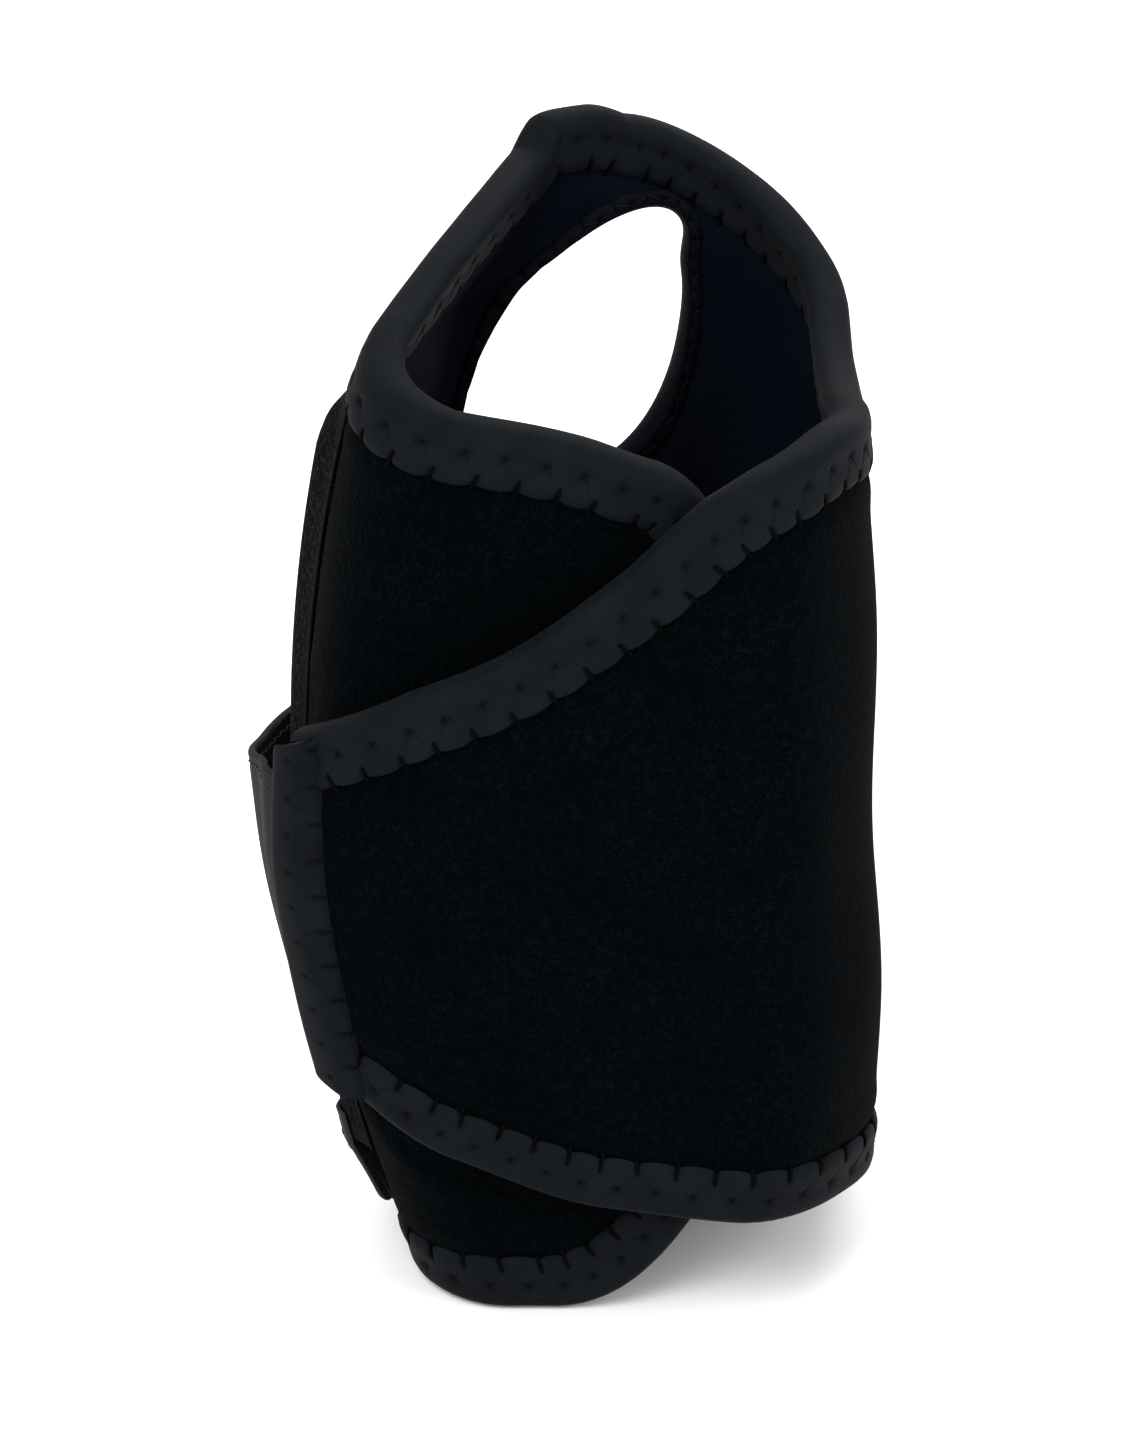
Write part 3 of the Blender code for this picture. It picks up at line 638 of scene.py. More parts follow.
def strap_material(name):
    """Smooth narrow weave with a low lustre."""
    s = Shader(name, (0.024, 0.023, 0.026), 0.62, Specular_IOR_Level=0.03, Sheen_Weight=0.006,
               Sheen_Roughness=0.4)
    soft = s.grain(8.0, 3.0)
    (weft, warp), mix = s.weave((0.5, 0.9), 0.5, soft, 0.0, 0.8)
    s.tint(mix, (0.0066, 0.0066, 0.0074), (0.0200, 0.0195, 0.0215))
    s.rough(soft, 0.55, 0.72)
    s.bump(weft, 0.05)
    s.bump(warp, 0.07)
    return s.material


def tab_material():
    """Flat woven back of the hook tape."""
    s = Shader("tab_weave", (0.014, 0.014, 0.015), 0.65, Specular_IOR_Level=0.08,
               Sheen_Weight=0.02)
    fine = s.grain(0.4, 3.0)
    (weft, warp), mix = s.weave((0.7, 0.7), 0.5, fine, 0.1, 0.7)
    s.tint(mix, (0.011, 0.011, 0.012), (0.021, 0.021, 0.0225))
    s.bump(weft, 0.05)
    s.bump(warp, 0.05)
    s.bump(fine, 0.08)
    return s.material


def aluminium_material():
    s = Shader("brushed_aluminium", (0.62, 0.63, 0.65), 0.36, Metallic=1.0)
    brushed = s.node("ShaderNodeVectorMath", {0: s.place(), 1: (1.0, 1.0, 0.03)},
                     operation="MULTIPLY").outputs[0]
    lines = s.node("ShaderNodeTexNoise", {"Vector": brushed, "Scale": 6.0,
                                          "Detail": 4.0}).outputs["Fac"]
    wear = s.grain(14.0, 4.0)
    s.tint(s.spread(wear, 0.2, 0.8), (0.50, 0.51, 0.53), (0.68, 0.69, 0.71))
    s.rough(lines, 0.26, 0.48)
    s.bump(lines, 0.02)
    return s.material


# ---- Stitched binding ------------------------------------------------------------------


def resample(q, z, closed=False):
    """Points at an even distance along an edge path, that distance and the stitches' pitch."""
    length = path_length(place(q, z, wrap_offset(q)))
    stitches = max(1, round(length[-1] / STITCH_PITCH))
    per_stitch = max(4, round(length[-1] / stitches / TAPE_SPACING))
    s = np.linspace(0.0, length[-1], stitches * per_stitch + 1)
    if closed:
        s = s[:-1]
    return np.interp(s, length, q), np.interp(s, length, z), s, length[-1] / stitches


def wrap_edge():
    """Edge of the wrap: back along the top, down the tail and along the bottom."""
    ease = 0.5 * (1 - np.cos(np.linspace(0, math.pi / 2, 120)))
    near = np.concatenate([ease * 0.9, np.linspace(0.45, WRAP_END, 1500)[1:]])
    top_q = near[::-1]
    side_z = np.linspace(wrap_top(0.0), wrap_bottom(0.0), 60)[1:-1]
    q = np.concatenate([top_q, np.zeros_like(side_z), near])
    z = np.concatenate([wrap_top(top_q), side_z, wrap_bottom(near)])
    return q, z


def squared(wave):
    """Sine or cosine of a slightly squarer oval."""
    return np.sign(wave) * np.abs(wave) ** HOLE_SQUARENESS


def hole_edge(count=400):
    """Edge of the thumb hole, with the sheet on its left."""
    angle = -np.linspace(0, 2 * math.pi, count + 1)
    across = squared(np.cos(angle))
    z = HOLE_HEIGHT + HOLE_HALF_HEIGHT * squared(np.sin(angle))
    lean = HOLE_LEAN - HOLE_TAPER * across
    aside = HOLE_SHIFT + HOLE_HALF_WIDTH * across + lean * (z - HOLE_HEIGHT)
    return walk(HOLE_STATION, z, aside), z


def inward(q, z, closed):
    """Directions into the sheet, left of the path, as (round, up)."""
    wide_q, wide_z = (np.pad(v, 1, "wrap" if closed else "edge") for v in (q, z))
    d = wrap_offset(q)
    chord = np.linalg.norm(place(wide_q[2:], z, d) - place(wide_q[:-2], z, d), axis=1)
    across = chord * np.sign(wide_q[2:] - wide_q[:-2])
    up = wide_z[2:] - wide_z[:-2]
    length = np.hypot(across, up)
    return -up / length, across / length


def zigzag(s, pitch):
    """How far across the stitch the thread is: 1 at the border, 0 at the far row."""
    return np.abs(1 - 2 * np.mod(s / pitch, 1.0))


def stitch_marks(s, b, border, pitch, width):
    """Depth of the needle marks: a slit at the border and a dot at the far row."""
    to_slit = (np.mod(s / pitch + 0.5, 1.0) - 0.5) * pitch
    to_dot = (np.mod(s / pitch, 1.0) - 0.5) * pitch
    along = b - (border - 0.75)
    slit = np.exp(-(to_slit / 0.42) ** 2 - (along / 1.15) ** 4)
    dot = np.exp(-((to_dot / 0.68) ** 2 + ((b - border + width) / 0.68) ** 2))
    return slit, dot


# Outer leg of a tape: its width, the depth of its scallops, the rows of thread and needle
# dots in from the border, the thread's height, and (distance in from the border, height).
Tape = namedtuple("Tape", "width scallop thread_row dot_row thread_height section")
EDGE_TAPE = Tape(TAPE_WIDTH, SCALLOP, STITCH_WIDTH, STITCH_WIDTH, 1.02, (
    (0.0, 0.05), (-0.18, 0.42), (-0.5, 0.74), (-1.0, 0.95), (-1.5, 1.05), (-2.0, 1.08),
    (-2.5, 1.08), (-3.0, 1.05), (-3.5, 1.02), (-4.0, 1.0), (-4.4, 0.98), (-4.8, 0.98),
    (-5.2, 1.02), (-5.7, 1.1), (-6.3, 1.16), (-7.0, TAPE_CROWN)))
HOLE_TAPE = Tape(HOLE_TAPE_WIDTH, 0.16, 1.3, 1.6, 1.0, (
    (0.0, 0.05), (-0.2, 0.42), (-0.55, 0.74), (-1.0, 0.92), (-1.5, 1.0), (-2.0, 1.02),
    (-2.5, 1.0)))


def tape_outline(s, pitch, kind):
    """Outer leg of the tape at each place s: (b, d, stitch) arrays, rows x points."""
    section = np.array(kind.section)
    scallop = kind.scallop * (2 * np.abs(np.sin(math.pi * s / pitch)) ** 0.7 - 1)
    share = np.clip(1 + section[:, 0] / 3.0, 0, 1)[None, :]
    b = kind.width - BORDER_INSET + section[None, :, 0] + scallop[:, None] * share
    plain = np.broadcast_to(section[None, :, 1], b.shape)
    row = s[:, None]
    notch = kind.width - BORDER_INSET - kind.scallop
    # The needle marks sink the tape here, and through the stitch attribute they also paint shade
    # into its colour.
    marks = np.maximum(*stitch_marks(row, b, notch, pitch, kind.dot_row))
    thread_b = notch - STITCH_INSET - kind.thread_row * (1 - zigzag(row, pitch))
    groove = np.exp(-((b - thread_b) * 0.55 / 0.5) ** 2)
    d = plain - 0.05 * groove * (plain > 0.5) - 0.5 * marks * np.clip(plain, 0, 1)
    return b, d, marks


def roll_outline(crown, count=9):
    """Round edge of the folded tape, from the outer leg to the inner one."""
    half = 0.5 * SHEET + crown
    middle = 1.35
    angle = np.linspace(math.pi / 2, -math.pi / 2, count + 2)[1:-1]
    reach = middle + TAPE_ROLL
    b = middle - reach * np.cos(angle) ** 0.85
    return b, -0.5 * SHEET + half * np.sign(np.sin(angle)) * np.abs(np.sin(angle)) ** 0.9


def tape_rows(q, z, s, pitch, kind, closed=False):
    """Points, marks and cloth coordinates of the tape, one closed outline per row."""
    round_in, up_in = inward(q, z, closed)
    b, d, marks = tape_outline(s, pitch, kind)
    puff = (0.09 * np.sin(s * 0.21 + 0.4) + 0.05 * np.sin(s * 0.53))[:, None]
    lift = np.clip((kind.width - b) / kind.width, 0, 1) * puff * 0.6
    roll_b, roll_d = roll_outline(TAPE_CROWN if kind is EDGE_TAPE else d.max())
    roll_b = np.broadcast_to(roll_b, (len(s), len(roll_b)))
    roll_d = -0.5 * SHEET + (roll_d + 0.5 * SHEET) * (1 + puff * 0.10)
    inner_d = -SHEET - d[:, ::-1] - lift[:, ::-1] * 0.5
    tuck_b = np.broadcast_to([kind.width - 0.5, 0.4, 0.4, kind.width - 0.5], (len(s), 4))
    tuck_d = np.broadcast_to([TUCK - SHEET, TUCK - SHEET, -TUCK, -TUCK], (len(s), 4))
    full_b = np.concatenate([b, roll_b, b[:, ::-1], tuck_b], axis=1)
    full_d = np.concatenate([d + lift, roll_d, inner_d, tuck_d], axis=1)
    full_marks = np.concatenate([marks, np.zeros_like(roll_b), marks[:, ::-1],
                                 np.zeros_like(tuck_b)], axis=1)
    height = z[:, None] + full_b * up_in[:, None]
    station = walk(q[:, None], height, full_b * round_in[:, None], wrap_offset(q)[:, None])
    points = soft_place(station, height, full_d)
    return points, full_marks, grid_uv(s[:, None], path_length(points[0])[None, :])


def ring_faces(rows, size, closed=False):
    faces = []
    count = rows if closed else rows - 1
    for i in range(count):
        a = i * size
        b = ((i + 1) % rows) * size
        for k in range(size):
            n = (k + 1) % size
            faces.append((a + k, b + k, b + n, a + n))
    if not closed:
        faces.append(tuple(range(size)))
        faces.append(tuple(range((rows - 1) * size, rows * size))[::-1])
    return faces


def stitch_paths(q, z, s, pitch, kind, span, closed=False):
    """Thread of the zigzag on both faces of the tape, one path for each stitch."""
    notch = kind.width - BORDER_INSET - kind.scallop - STITCH_INSET
    edge = [q, z, *inward(q, z, closed)]
    if closed:
        s = np.append(s, s[-1] + s[1] - s[0])
        edge = [np.append(v, v[0]) for v in edge]
    t = np.linspace(0.03, 0.97, 7)
    dip = 0.75 * np.abs(2 * t - 1) ** 5
    paths = []
    for k in range(int(round(s[-1] / pitch * 2))):
        here = (k + t) * pitch / 2
        if here[0] < span[0] or here[-1] > span[1]:
            continue
        at_q, at_z, around, up = (np.interp(here, s, v) for v in edge)
        b = notch - kind.thread_row * (1 - zigzag(here, pitch))
        height = at_z + b * up
        station = walk(at_q, height, b * around, wrap_offset(at_q))
        top = kind.thread_height - 0.10 - dip
        paths += [soft_place(station, height, d) for d in (top, -SHEET - top)]
    return paths


def tick_paths(q, z, s, pitch, span):
    """Threads pulled tight over the border at the head of each stitch, on both faces."""
    edge = (q, z, *inward(q, z, False))
    border = TAPE_WIDTH - BORDER_INSET - SCALLOP
    reach = np.array([-1.9, -1.2, -0.5, 0.1, 0.6, 1.0])
    lift = np.array([0.78, 0.86, 0.74, 0.42, 0.16, -0.15])
    paths = []
    for k in range(int(round(s[-1] / pitch)) + 1):
        here = k * pitch
        if not span[0] < here < span[1]:
            continue
        at_q, at_z, around, up = (np.interp(here, s, v) for v in edge)
        b = border + reach * (1.0 + 0.22 * math.sin(1.7 * k + 0.5))
        along = 0.35 * math.sin(2.3 * k) * (reach - reach[0]) / 3.0
        height = at_z + b * up - along * around
        station = walk(at_q, height, b * around + along * up, wrap_offset(at_q))
        paths += [soft_place(station, height, d) for d in (lift, -SHEET - lift)]
    return paths


# ---- Wrap: sheets and bindings ---------------------------------------------------------


def edge_tree(q, z):
    """Search tree over the points of a bound edge."""
    points = place(q, z, wrap_offset(q) - 0.5 * SHEET)
    tree = kdtree.KDTree(len(points))
    for i, p in enumerate(points):
        tree.insert(p, i)
    tree.balance()
    return tree


def press(points, edges):
    """How far the cloth is drawn in or swells next to its stitched bindings."""
    flat = points.reshape(-1, 3)
    result = np.zeros(len(flat))
    for tree, s, width, pitch in edges:
        found = [tree.find(p)[1:] for p in flat]
        from_tape = np.array([distance for _, distance in found]) - width
        beat = np.cos(2 * math.pi * s[[index for index, _ in found]] / pitch)
        outside = np.maximum(from_tape, 0)
        dip = 0.42 * np.exp(-(outside / 1.3) ** 2)
        swell = 0.32 * np.exp(-((from_tape - 4.0) / 2.6) ** 2)
        pucker = 0.16 * beat * np.exp(-outside / 2.2)
        result += np.where(from_tape < 0, -0.30, swell - dip - pucker)
    return result.reshape(points.shape[:-1])


def wrap_grid(start, end):
    """Stations and heights of the sheet's mesh between two stations."""
    dense = np.linspace(start, end, 800)
    length = path_length(place(dense, 90.0, wrap_offset(dense)))
    count = int(length[-1] / SHEET_SPACING)
    marks = np.interp(np.linspace(0, length[-1], count + 1), length, dense)
    if start == 0.0:
        marks = np.concatenate([TAIL_END_STATIONS, marks[marks > 1.3 * TAIL_END_STATIONS[-1]]])
    high = wrap_top(marks)
    low = wrap_bottom(marks)
    rows = int((high - low).max() / SHEET_SPACING)
    z = low[:, None] + (high - low)[:, None] * np.linspace(0, 1, rows + 1)[None, :]
    return np.broadcast_to(marks[:, None], z.shape), z


def wrap_plies(names, start, end, edges, materials):
    """The foam with its pile, and the lining, as two closed sheets."""
    q, z = wrap_grid(start, end)
    outside = soft_place(q, z, 0.0)
    drawn = press(outside, edges)
    uv = grid_uv(path_length(outside[:, q.shape[1] // 2])[:, None], z)
    pile = slab(names[0], soft_place(q, z, drawn), soft_place(q, z, -FOAM), materials[0], uv)
    cloth = slab(names[1], soft_place(q, z, -FOAM - PLY_GAP),
                 soft_place(q, z, -SHEET - 0.8 * drawn), materials[1], uv)
    return pile, cloth


def cut_hole(pieces):
    """Cut the thumb hole through the pieces with one plug."""
    q, z = hole_edge(96)
    q, z = q[:-1], z[:-1]
    count = len(q)
    middle = walk(HOLE_STATION, HOLE_HEIGHT, HOLE_SHIFT)
    points = np.concatenate([place(q, z, 9.0), place(q, z, -9.0),
                             place(middle, HOLE_HEIGHT, 12.0).reshape(1, 3),
                             place(middle, HOLE_HEIGHT, -14.0).reshape(1, 3)])
    faces = []
    for k in range(count):
        n = (k + 1) % count
        faces += [(k, count + k, count + n, n), (k, n, 2 * count),
                  (count + n, count + k, 2 * count + 1)]
    plug = make_piece("hole_plug", points, faces, None)
    for piece in pieces:
        cut = piece.modifiers.new("thumb_hole", "BOOLEAN")
        cut.operation = "DIFFERENCE"
        cut.solver = "EXACT"
        cut.object = plug
        graph = bpy.context.evaluated_depsgraph_get()
        mesh = bpy.data.meshes.new_from_object(piece.evaluated_get(graph))
        piece.modifiers.clear()
        piece.data = mesh
    bpy.data.objects.remove(plug)


def build_wrap(mats):
    edge = resample(*wrap_edge())
    hole = resample(*hole_edge(), closed=True)
    q, z, s, pitch = edge
    drawn_edge = (edge_tree(q, z), s, TAPE_WIDTH, pitch)
    drawn_hole = (edge_tree(*hole[:2]), hole[2], HOLE_TAPE_WIDTH, hole[3])
    sleeve = wrap_plies(("sleeve_pile", "sleeve_lining_cloth"), 0.0, SEAM,
                        (drawn_edge, drawn_hole), (mats["pile"], mats["lining"]))
    cut_hole(sleeve)
    flap = wrap_plies(("flap_pile", "flap_lining_cloth"), SEAM, WRAP_END, (drawn_edge,),
                      (mats["flap_pile"], mats["flap_lining"]))
    bend = ("sleeve", "flap", *seam_line())
    points, marks, uv = tape_rows(*edge, EDGE_TAPE)
    outer = np.nonzero(q > SEAM)[0]
    turn = np.nonzero(np.diff(outer) > 1)[0][0]
    top_end = outer[turn] + 1
    low_start = outer[turn + 1] - 1
    for name, first, last, material, node, slot, where in (
            ("flap_top_tape", 0, top_end, "flap_tape", "flap_top_binding", "flap_top_tape", bend),
            ("sleeve_tape", top_end, low_start, "tape", "sleeve_binding", "edge_tape", "sleeve"),
            ("flap_bottom_tape", low_start, len(s) - 1, "flap_low_tape", "flap_bottom_binding",
             "flap_bottom_tape", bend)):
        rows = slice(first, last + 1)
        tape = make_piece(name, points[rows], ring_faces(last + 1 - first, points.shape[1]),
                          mats[material], uv[rows])
        # The stitch attribute paints shade into the tape's colour at the needle marks.
        set_attribute(tape, "stitch", marks[rows])
        thread = tubes(name.replace("tape", "thread"),
                       stitch_paths(*edge, EDGE_TAPE, (s[first] - 0.1, s[last] + 0.1)),
                       THREAD_RADIUS, mats["thread"])
        # These real threads carry painted shade in their near-black colour.
        ticks = tubes(name.replace("tape", "ticks"),
                      tick_paths(*edge, (s[first] + 1.0, s[last] - 1.0)), TICK_RADIUS,
                      mats["tick"])
        attach((tape, thread, ticks), slot, where, node)
    points, marks, uv = tape_rows(*hole, HOLE_TAPE, closed=True)
    ring = make_piece("thumb_hole_tape", points,
                      ring_faces(len(points), points.shape[1], closed=True),
                      mats["hole_tape"], uv)
    # The stitch attribute paints shade into the tape's colour at the needle marks.
    set_attribute(ring, "stitch", marks)
    thread = tubes("thumb_hole_thread",
                   stitch_paths(*hole, HOLE_TAPE, (-1.0, math.inf), closed=True),
                   0.9 * THREAD_RADIUS, mats["thread"])
    attach((ring, thread), "thumb_hole_tape", "sleeve", "thumb_hole_binding")
    for piece, slot, where, node, rests, length in (
            (sleeve[0], "neoprene_pile", "sleeve", "sleeve_shell", [], 0.225),
            (sleeve[1], "navy_lining", "sleeve", "sleeve_lining", ["sleeve_pile"], 0.225),
            (flap[0], "flap_pile", bend, "flap_shell", ["sleeve_pile"], 0.155),
            (flap[1], "flap_lining", bend, "flap_lining", ["flap_pile"], 0.155)):
        attach((piece,), slot, where, node)


def seam_line():
    """Across the back of the hand, where the sleeve turns into the flap, in metres."""
    heights = np.linspace(10.0, 150.0, 15)
    first = min(place(SEAM, heights, 0.0)[:, 1]) - 0.6
    return [(np.array([EAST[0][1], y, 0.0]) + SHIFT) * MM for y in (first, first - 14.0)]


# ---- Pocket, strap, stay and tab -------------------------------------------------------


def edge_share(distance, radius):
    """Share of the full thickness left at a distance from a rounded edge."""
    inside = np.clip(1 - distance / radius, 0.0, 1.0)
    return np.sqrt(1 - 0.92 * inside ** 2)


def close_ends(low, high, spacing, first=0.12):
    """Even values with a few close ones at both ends, where an edge is rounded."""
    near = first * np.array([0.0, 1.0, 2.8, 5.5])
    inner = np.linspace(low + 1.0, high - 1.0, max(2, int((high - low - 2.0) / spacing) + 1))
    return np.concatenate([low + near, inner, (high - near)[::-1]])


def rounded_slab(name, q, z, outer, inner, share, material, uv):
    """Closed slab between two distances, its thickness reduced to a share of the full."""
    middle = 0.5 * (outer + inner)
    half = 0.5 * (outer - inner) * share
    return slab(name, place(q, z, middle + half), place(q, z, middle - half), material, uv)


def running_stitches(q, z, d):
    """Short threads along a line of points (q, z, d), their ends pulled into the cloth."""
    length = path_length(place(q, z, d))
    t = np.linspace(0.10, 0.80, 5)
    dip = 0.42 * np.abs(np.linspace(-1, 1, 5)) ** 3
    paths = []
    for k in range(int(length[-1] / SEWING_PITCH)):
        s = (k + t) * SEWING_PITCH
        paths.append(place(np.interp(s, length, q), np.interp(s, length, z),
                           np.interp(s, length, d) - dip))
    return paths


def hooks(q, z, root, tip, lean):
    """Small hooks from distance root to distance tip, bent over by lean mm up or down."""
    reach = tip - root
    up = np.array([0.0, 0.55, 0.9, 1.0])[:, None]
    over = np.array([0.0, 0.05, 0.45, 1.0])[:, None] * lean
    height = z.ravel()[None, :] + over
    paths = place(np.broadcast_to(q.ravel()[None, :], height.shape), height,
                  root.ravel()[None, :] + up * reach.ravel()[None, :])
    return [paths[:, k] for k in range(paths.shape[1])]


def pocket_rise(w, z):
    """Inner face of the panel: sewn flat at both sides and the top, raised over the stay."""
    edge = np.abs(w - PALM_MIDDLE)
    cavity = POCKET_CAVITY_HALF - 3.4 * np.clip((z - 141.5) / 4.5, 0, 1) ** 2
    part = np.clip((edge - cavity) / 4.6, 0, 1)
    over = 1 - part * part * (3 - 2 * part)
    top = np.clip((z - 145.6) / 5.0, 0, 1)
    over = over * (1 - top * top * (3 - 2 * top))
    return 0.35 + (POCKET_LIFT - 0.35) * over


def build_pocket(mats):
    u = close_ends(-POCKET_HALF, POCKET_HALF, 0.8)
    w = PALM_MIDDLE + u
    high = wrap_top(palm_station(w, 160.0)) - TAPE_WIDTH - 0.45
    share = close_ends(0.0, 135.0, 1.3) / 135.0
    z = POCKET_MOUTH + (high - POCKET_MOUTH)[:, None] * share[None, :]
    w = np.broadcast_to(w[:, None], z.shape)
    q = palm_station(w, z)
    edge = np.minimum(POCKET_HALF - np.abs(w - PALM_MIDDLE),
                      np.minimum(z - POCKET_MOUTH, high[:, None] - z))
    rise = pocket_rise(w, z) + slack(q, z)
    seam = np.abs(w - PALM_MIDDLE) - (POCKET_HALF - 1.1)
    thin = 0.45 * np.clip((np.abs(w - PALM_MIDDLE) - 17.0) / 3.0, 0, 1)
    dip = 0.34 * np.exp(-(seam / 0.45) ** 2)
    hem = z - POCKET_MOUTH - MOUTH_HEM
    dip = dip + 0.22 * np.exp(-(hem / 0.5) ** 2) * (np.abs(w - PALM_MIDDLE) < 17.5)
    outer = rise + POCKET_WALL - thin - dip
    panel = rounded_slab("pocket_panel", q, z, outer, rise, edge_share(edge, 0.6),
                         mats["pocket"], grid_uv(w, z))
    selvage = np.clip((np.abs(w - PALM_MIDDLE) - (POCKET_HALF - 1.9)) / 0.25, 0, 1)
    selvage = np.maximum(selvage, np.clip((POCKET_MOUTH + 3.4 - z) / 0.25, 0, 1))
    set_attribute(panel, "selvage", np.concatenate([selvage.ravel()] * 2))
    paths = []
    for side in (-1, 1):
        line_w = PALM_MIDDLE + side * (POCKET_HALF - 1.1)
        top = wrap_top(palm_station(line_w, 160.0)) - TAPE_WIDTH - 1.5
        line_z = np.linspace(POCKET_MOUTH + 1.5, float(top), 200)
        line_q = palm_station(line_w, line_z)
        line_d = pocket_rise(line_w, line_z) + slack(line_q, line_z) + POCKET_WALL - 0.62
        paths += running_stitches(line_q, line_z, line_d)
    across = PALM_MIDDLE + np.linspace(-16.5, 16.5, 80)
    line_z = np.full(len(across), POCKET_MOUTH + MOUTH_HEM)
    line_q = palm_station(across, line_z)
    line_d = pocket_rise(across, line_z) + slack(line_q, line_z) + POCKET_WALL - 0.08
    paths += running_stitches(line_q, line_z, line_d)
    sewing = tubes("pocket_sewing", paths, THREAD_RADIUS, mats["sewing"])
    attach((panel, sewing), "pocket_loop", "sleeve", "splint_pocket_panel")


def anchor_station(a, share):
    """Station a mm in from the anchor tape's free border, which slants a little."""
    slant = 2.5 * (1 - share) * (1 - a / 10.5)
    return ANCHOR_START + (a - slant) * (ANCHOR_END - ANCHOR_START) / 10.5


def build_anchor(mats):
    """Tape sewn with a zigzag over the flap's end and the strap's root."""
    outer = np.array([(0.0, 6.02), (0.1, 6.55), (0.35, 7.15), (0.8, 7.75), (1.3, 8.25), (1.9, 8.7),
                      (2.5, 9.1), (3.1, 9.45), (3.8, 9.75), (4.4, 9.9), (5.0, 9.98),
                      (5.6, 10.02), (6.4, 10.05), (7.6, 10.1), (8.8, 10.1), (9.6, 10.0),
                      (10.2, 9.85), (10.5, 9.6)])
    inner = np.array([(10.4, 9.42), (9.4, 9.36), (7.0, 9.38), (4.2, 9.4), (3.4, 9.3),
                      (2.6, 8.3), (1.8, 6.9), (1.0, 6.12), (0.5, 5.94)])
    steps = 190
    share = np.linspace(0, 1, steps)[:, None]
    section = np.concatenate([outer, inner])
    a = np.broadcast_to(section[None, :, 0], (steps, len(section)))
    q = anchor_station(a, share)
    low = wrap_bottom(q) + 0.4
    high = wrap_top(q) - 0.4
    z = low + (high - low) * share
    s = z - low[:1]
    pitch = (s[-1].mean()) / round(s[-1].mean() / STITCH_PITCH)
    to_slit = (np.mod(s / pitch + 0.5, 1.0) - 0.5) * pitch
    to_dot = (np.mod(s / pitch, 1.0) - 0.5) * pitch
    slit = np.exp(-(to_slit / 0.42) ** 2 - ((a - 0.9) / 1.05) ** 4)
    dot = np.exp(-((to_dot / 0.55) ** 2 + ((a - 5.2) / 0.55) ** 2))
    on_top = (np.arange(len(section)) < len(outer))[None, :]
    marks = np.maximum(slit, dot) * on_top
    ends = edge_share(np.minimum(z - low, high - z), 0.8)
    puff = 0.14 * np.sin(s * 0.19 + 0.6) * np.clip(a / 5, 0, 1) * on_top
    base = np.where(a > 2.6, 9.4, 6.0)
    d = base + (section[None, :, 1] - base) * np.where(on_top, ends, 1.0) + puff - 0.42 * marks
    points = place(q, z, d + slack(q, z))
    faces = [f[::-1] for f in ring_faces(steps, len(section))]
    anchor = make_piece("anchor_tape", points, faces, mats["anchor"], grid_uv(z, a))
    # The stitch attribute paints shade into the tape's colour at the needle marks.
    set_attribute(anchor, "stitch", marks)
    paths = []
    middle = 0.5 * (s[-1].mean())
    t = np.linspace(0.03, 0.97, 7)
    for k in range(int(2 * 2 * middle / pitch) - 1):
        along = (k + t) * pitch / 2
        b = 0.9 + 4.3 * (1 - zigzag(along, pitch))
        line_q = anchor_station(b, along / (2 * middle))
        line_low = wrap_bottom(line_q) + 0.4
        line_high = wrap_top(line_q) - 0.4
        line_z = line_low + along * (line_high - line_low) / (2 * middle)
        top = np.interp(b, outer[:, 0], outer[:, 1]) - 0.06 - 0.6 * np.abs(2 * t - 1) ** 5
        paths.append(place(line_q, line_z, top + slack(line_q, line_z)))
    thread = tubes("anchor_thread", paths, THREAD_RADIUS, mats["thread"])
    attach((anchor, thread), "anchor_tape", "flap", "strap_anchor_strip")


def strap_outer(q, z):
    """Outer face of the strap, whose upper edge stands off the palm side."""
    low = profile(STRAP_LOW, q)
    share = (z - low) / (profile(STRAP_HIGH, q) - low)
    drop = profile(STRAP_DROP, q) * (1 - share) ** 1.4
    return profile(STRAP_OUTER, q) - drop + profile(STRAP_FLARE, q) * share + slack(q, z)


def strap_span(start, end, d, spacing, height, corner=0.0, inset=0.0):
    """Grid over a length of strap, whose end may be rounded.

    Returns stations, heights, distances from the long edges and from the ends, cloth
    coordinates, and the distance along the strap at each of some dense stations.
    """
    dense = np.linspace(start, end, 400)
    length = path_length(place(dense, STRAP_LEVEL, d))
    run = close_ends(0.0, length[-1], spacing[0])
    if corner:
        round_end = corner * (1 - np.sin(np.linspace(0, math.pi / 2, 16)))
        run = np.unique(np.concatenate([run, length[-1] - round_end]))
    q = np.interp(run, length, dense)
    cut = corner_rise(length[-1] - run, corner) + inset
    low = profile(STRAP_LOW, q) + cut
    high = profile(STRAP_HIGH, q) - cut
    share = close_ends(0.0, height, spacing[1]) / height
    z = low[:, None] + (high - low)[:, None] * share[None, :]
    side = np.minimum(z - low[:, None], high[:, None] - z)
    ends = np.minimum(run, length[-1] - run)[:, None]
    q = np.broadcast_to(q[:, None], z.shape)
    return q, z, side, ends, grid_uv(run[:, None], z), (length, dense)


def strap_cloth(name, start, end, corner, material):
    """Strap between two stations, with a flat hem pressed in along both edges."""
    q, z, side, ends, uv, _ = strap_span(start, end, 8.0, (1.1, 1.1), STRAP_HEIGHT, corner)
    hem = 0.14 * np.exp(-((side - SEWING_INSET) / 0.5) ** 2)
    wave = 0.10 * np.sin(z * 0.21 + q * 5.0) + 0.06 * np.sin(uv[..., 0] * 0.33)
    fold = np.clip((ROOT_FOLD_END - q) / 0.012, 0, 1) * np.clip((side - 8.6) / 1.5, 0, 1)
    top = strap_outer(q, z) + wave
    under = top - STRAP_THICK - ROOT_FOLD * fold
    share = edge_share(side, 0.7) * edge_share(ends, 0.5)
    return rounded_slab(name, q, z, top - hem, under + hem, share, material, uv)


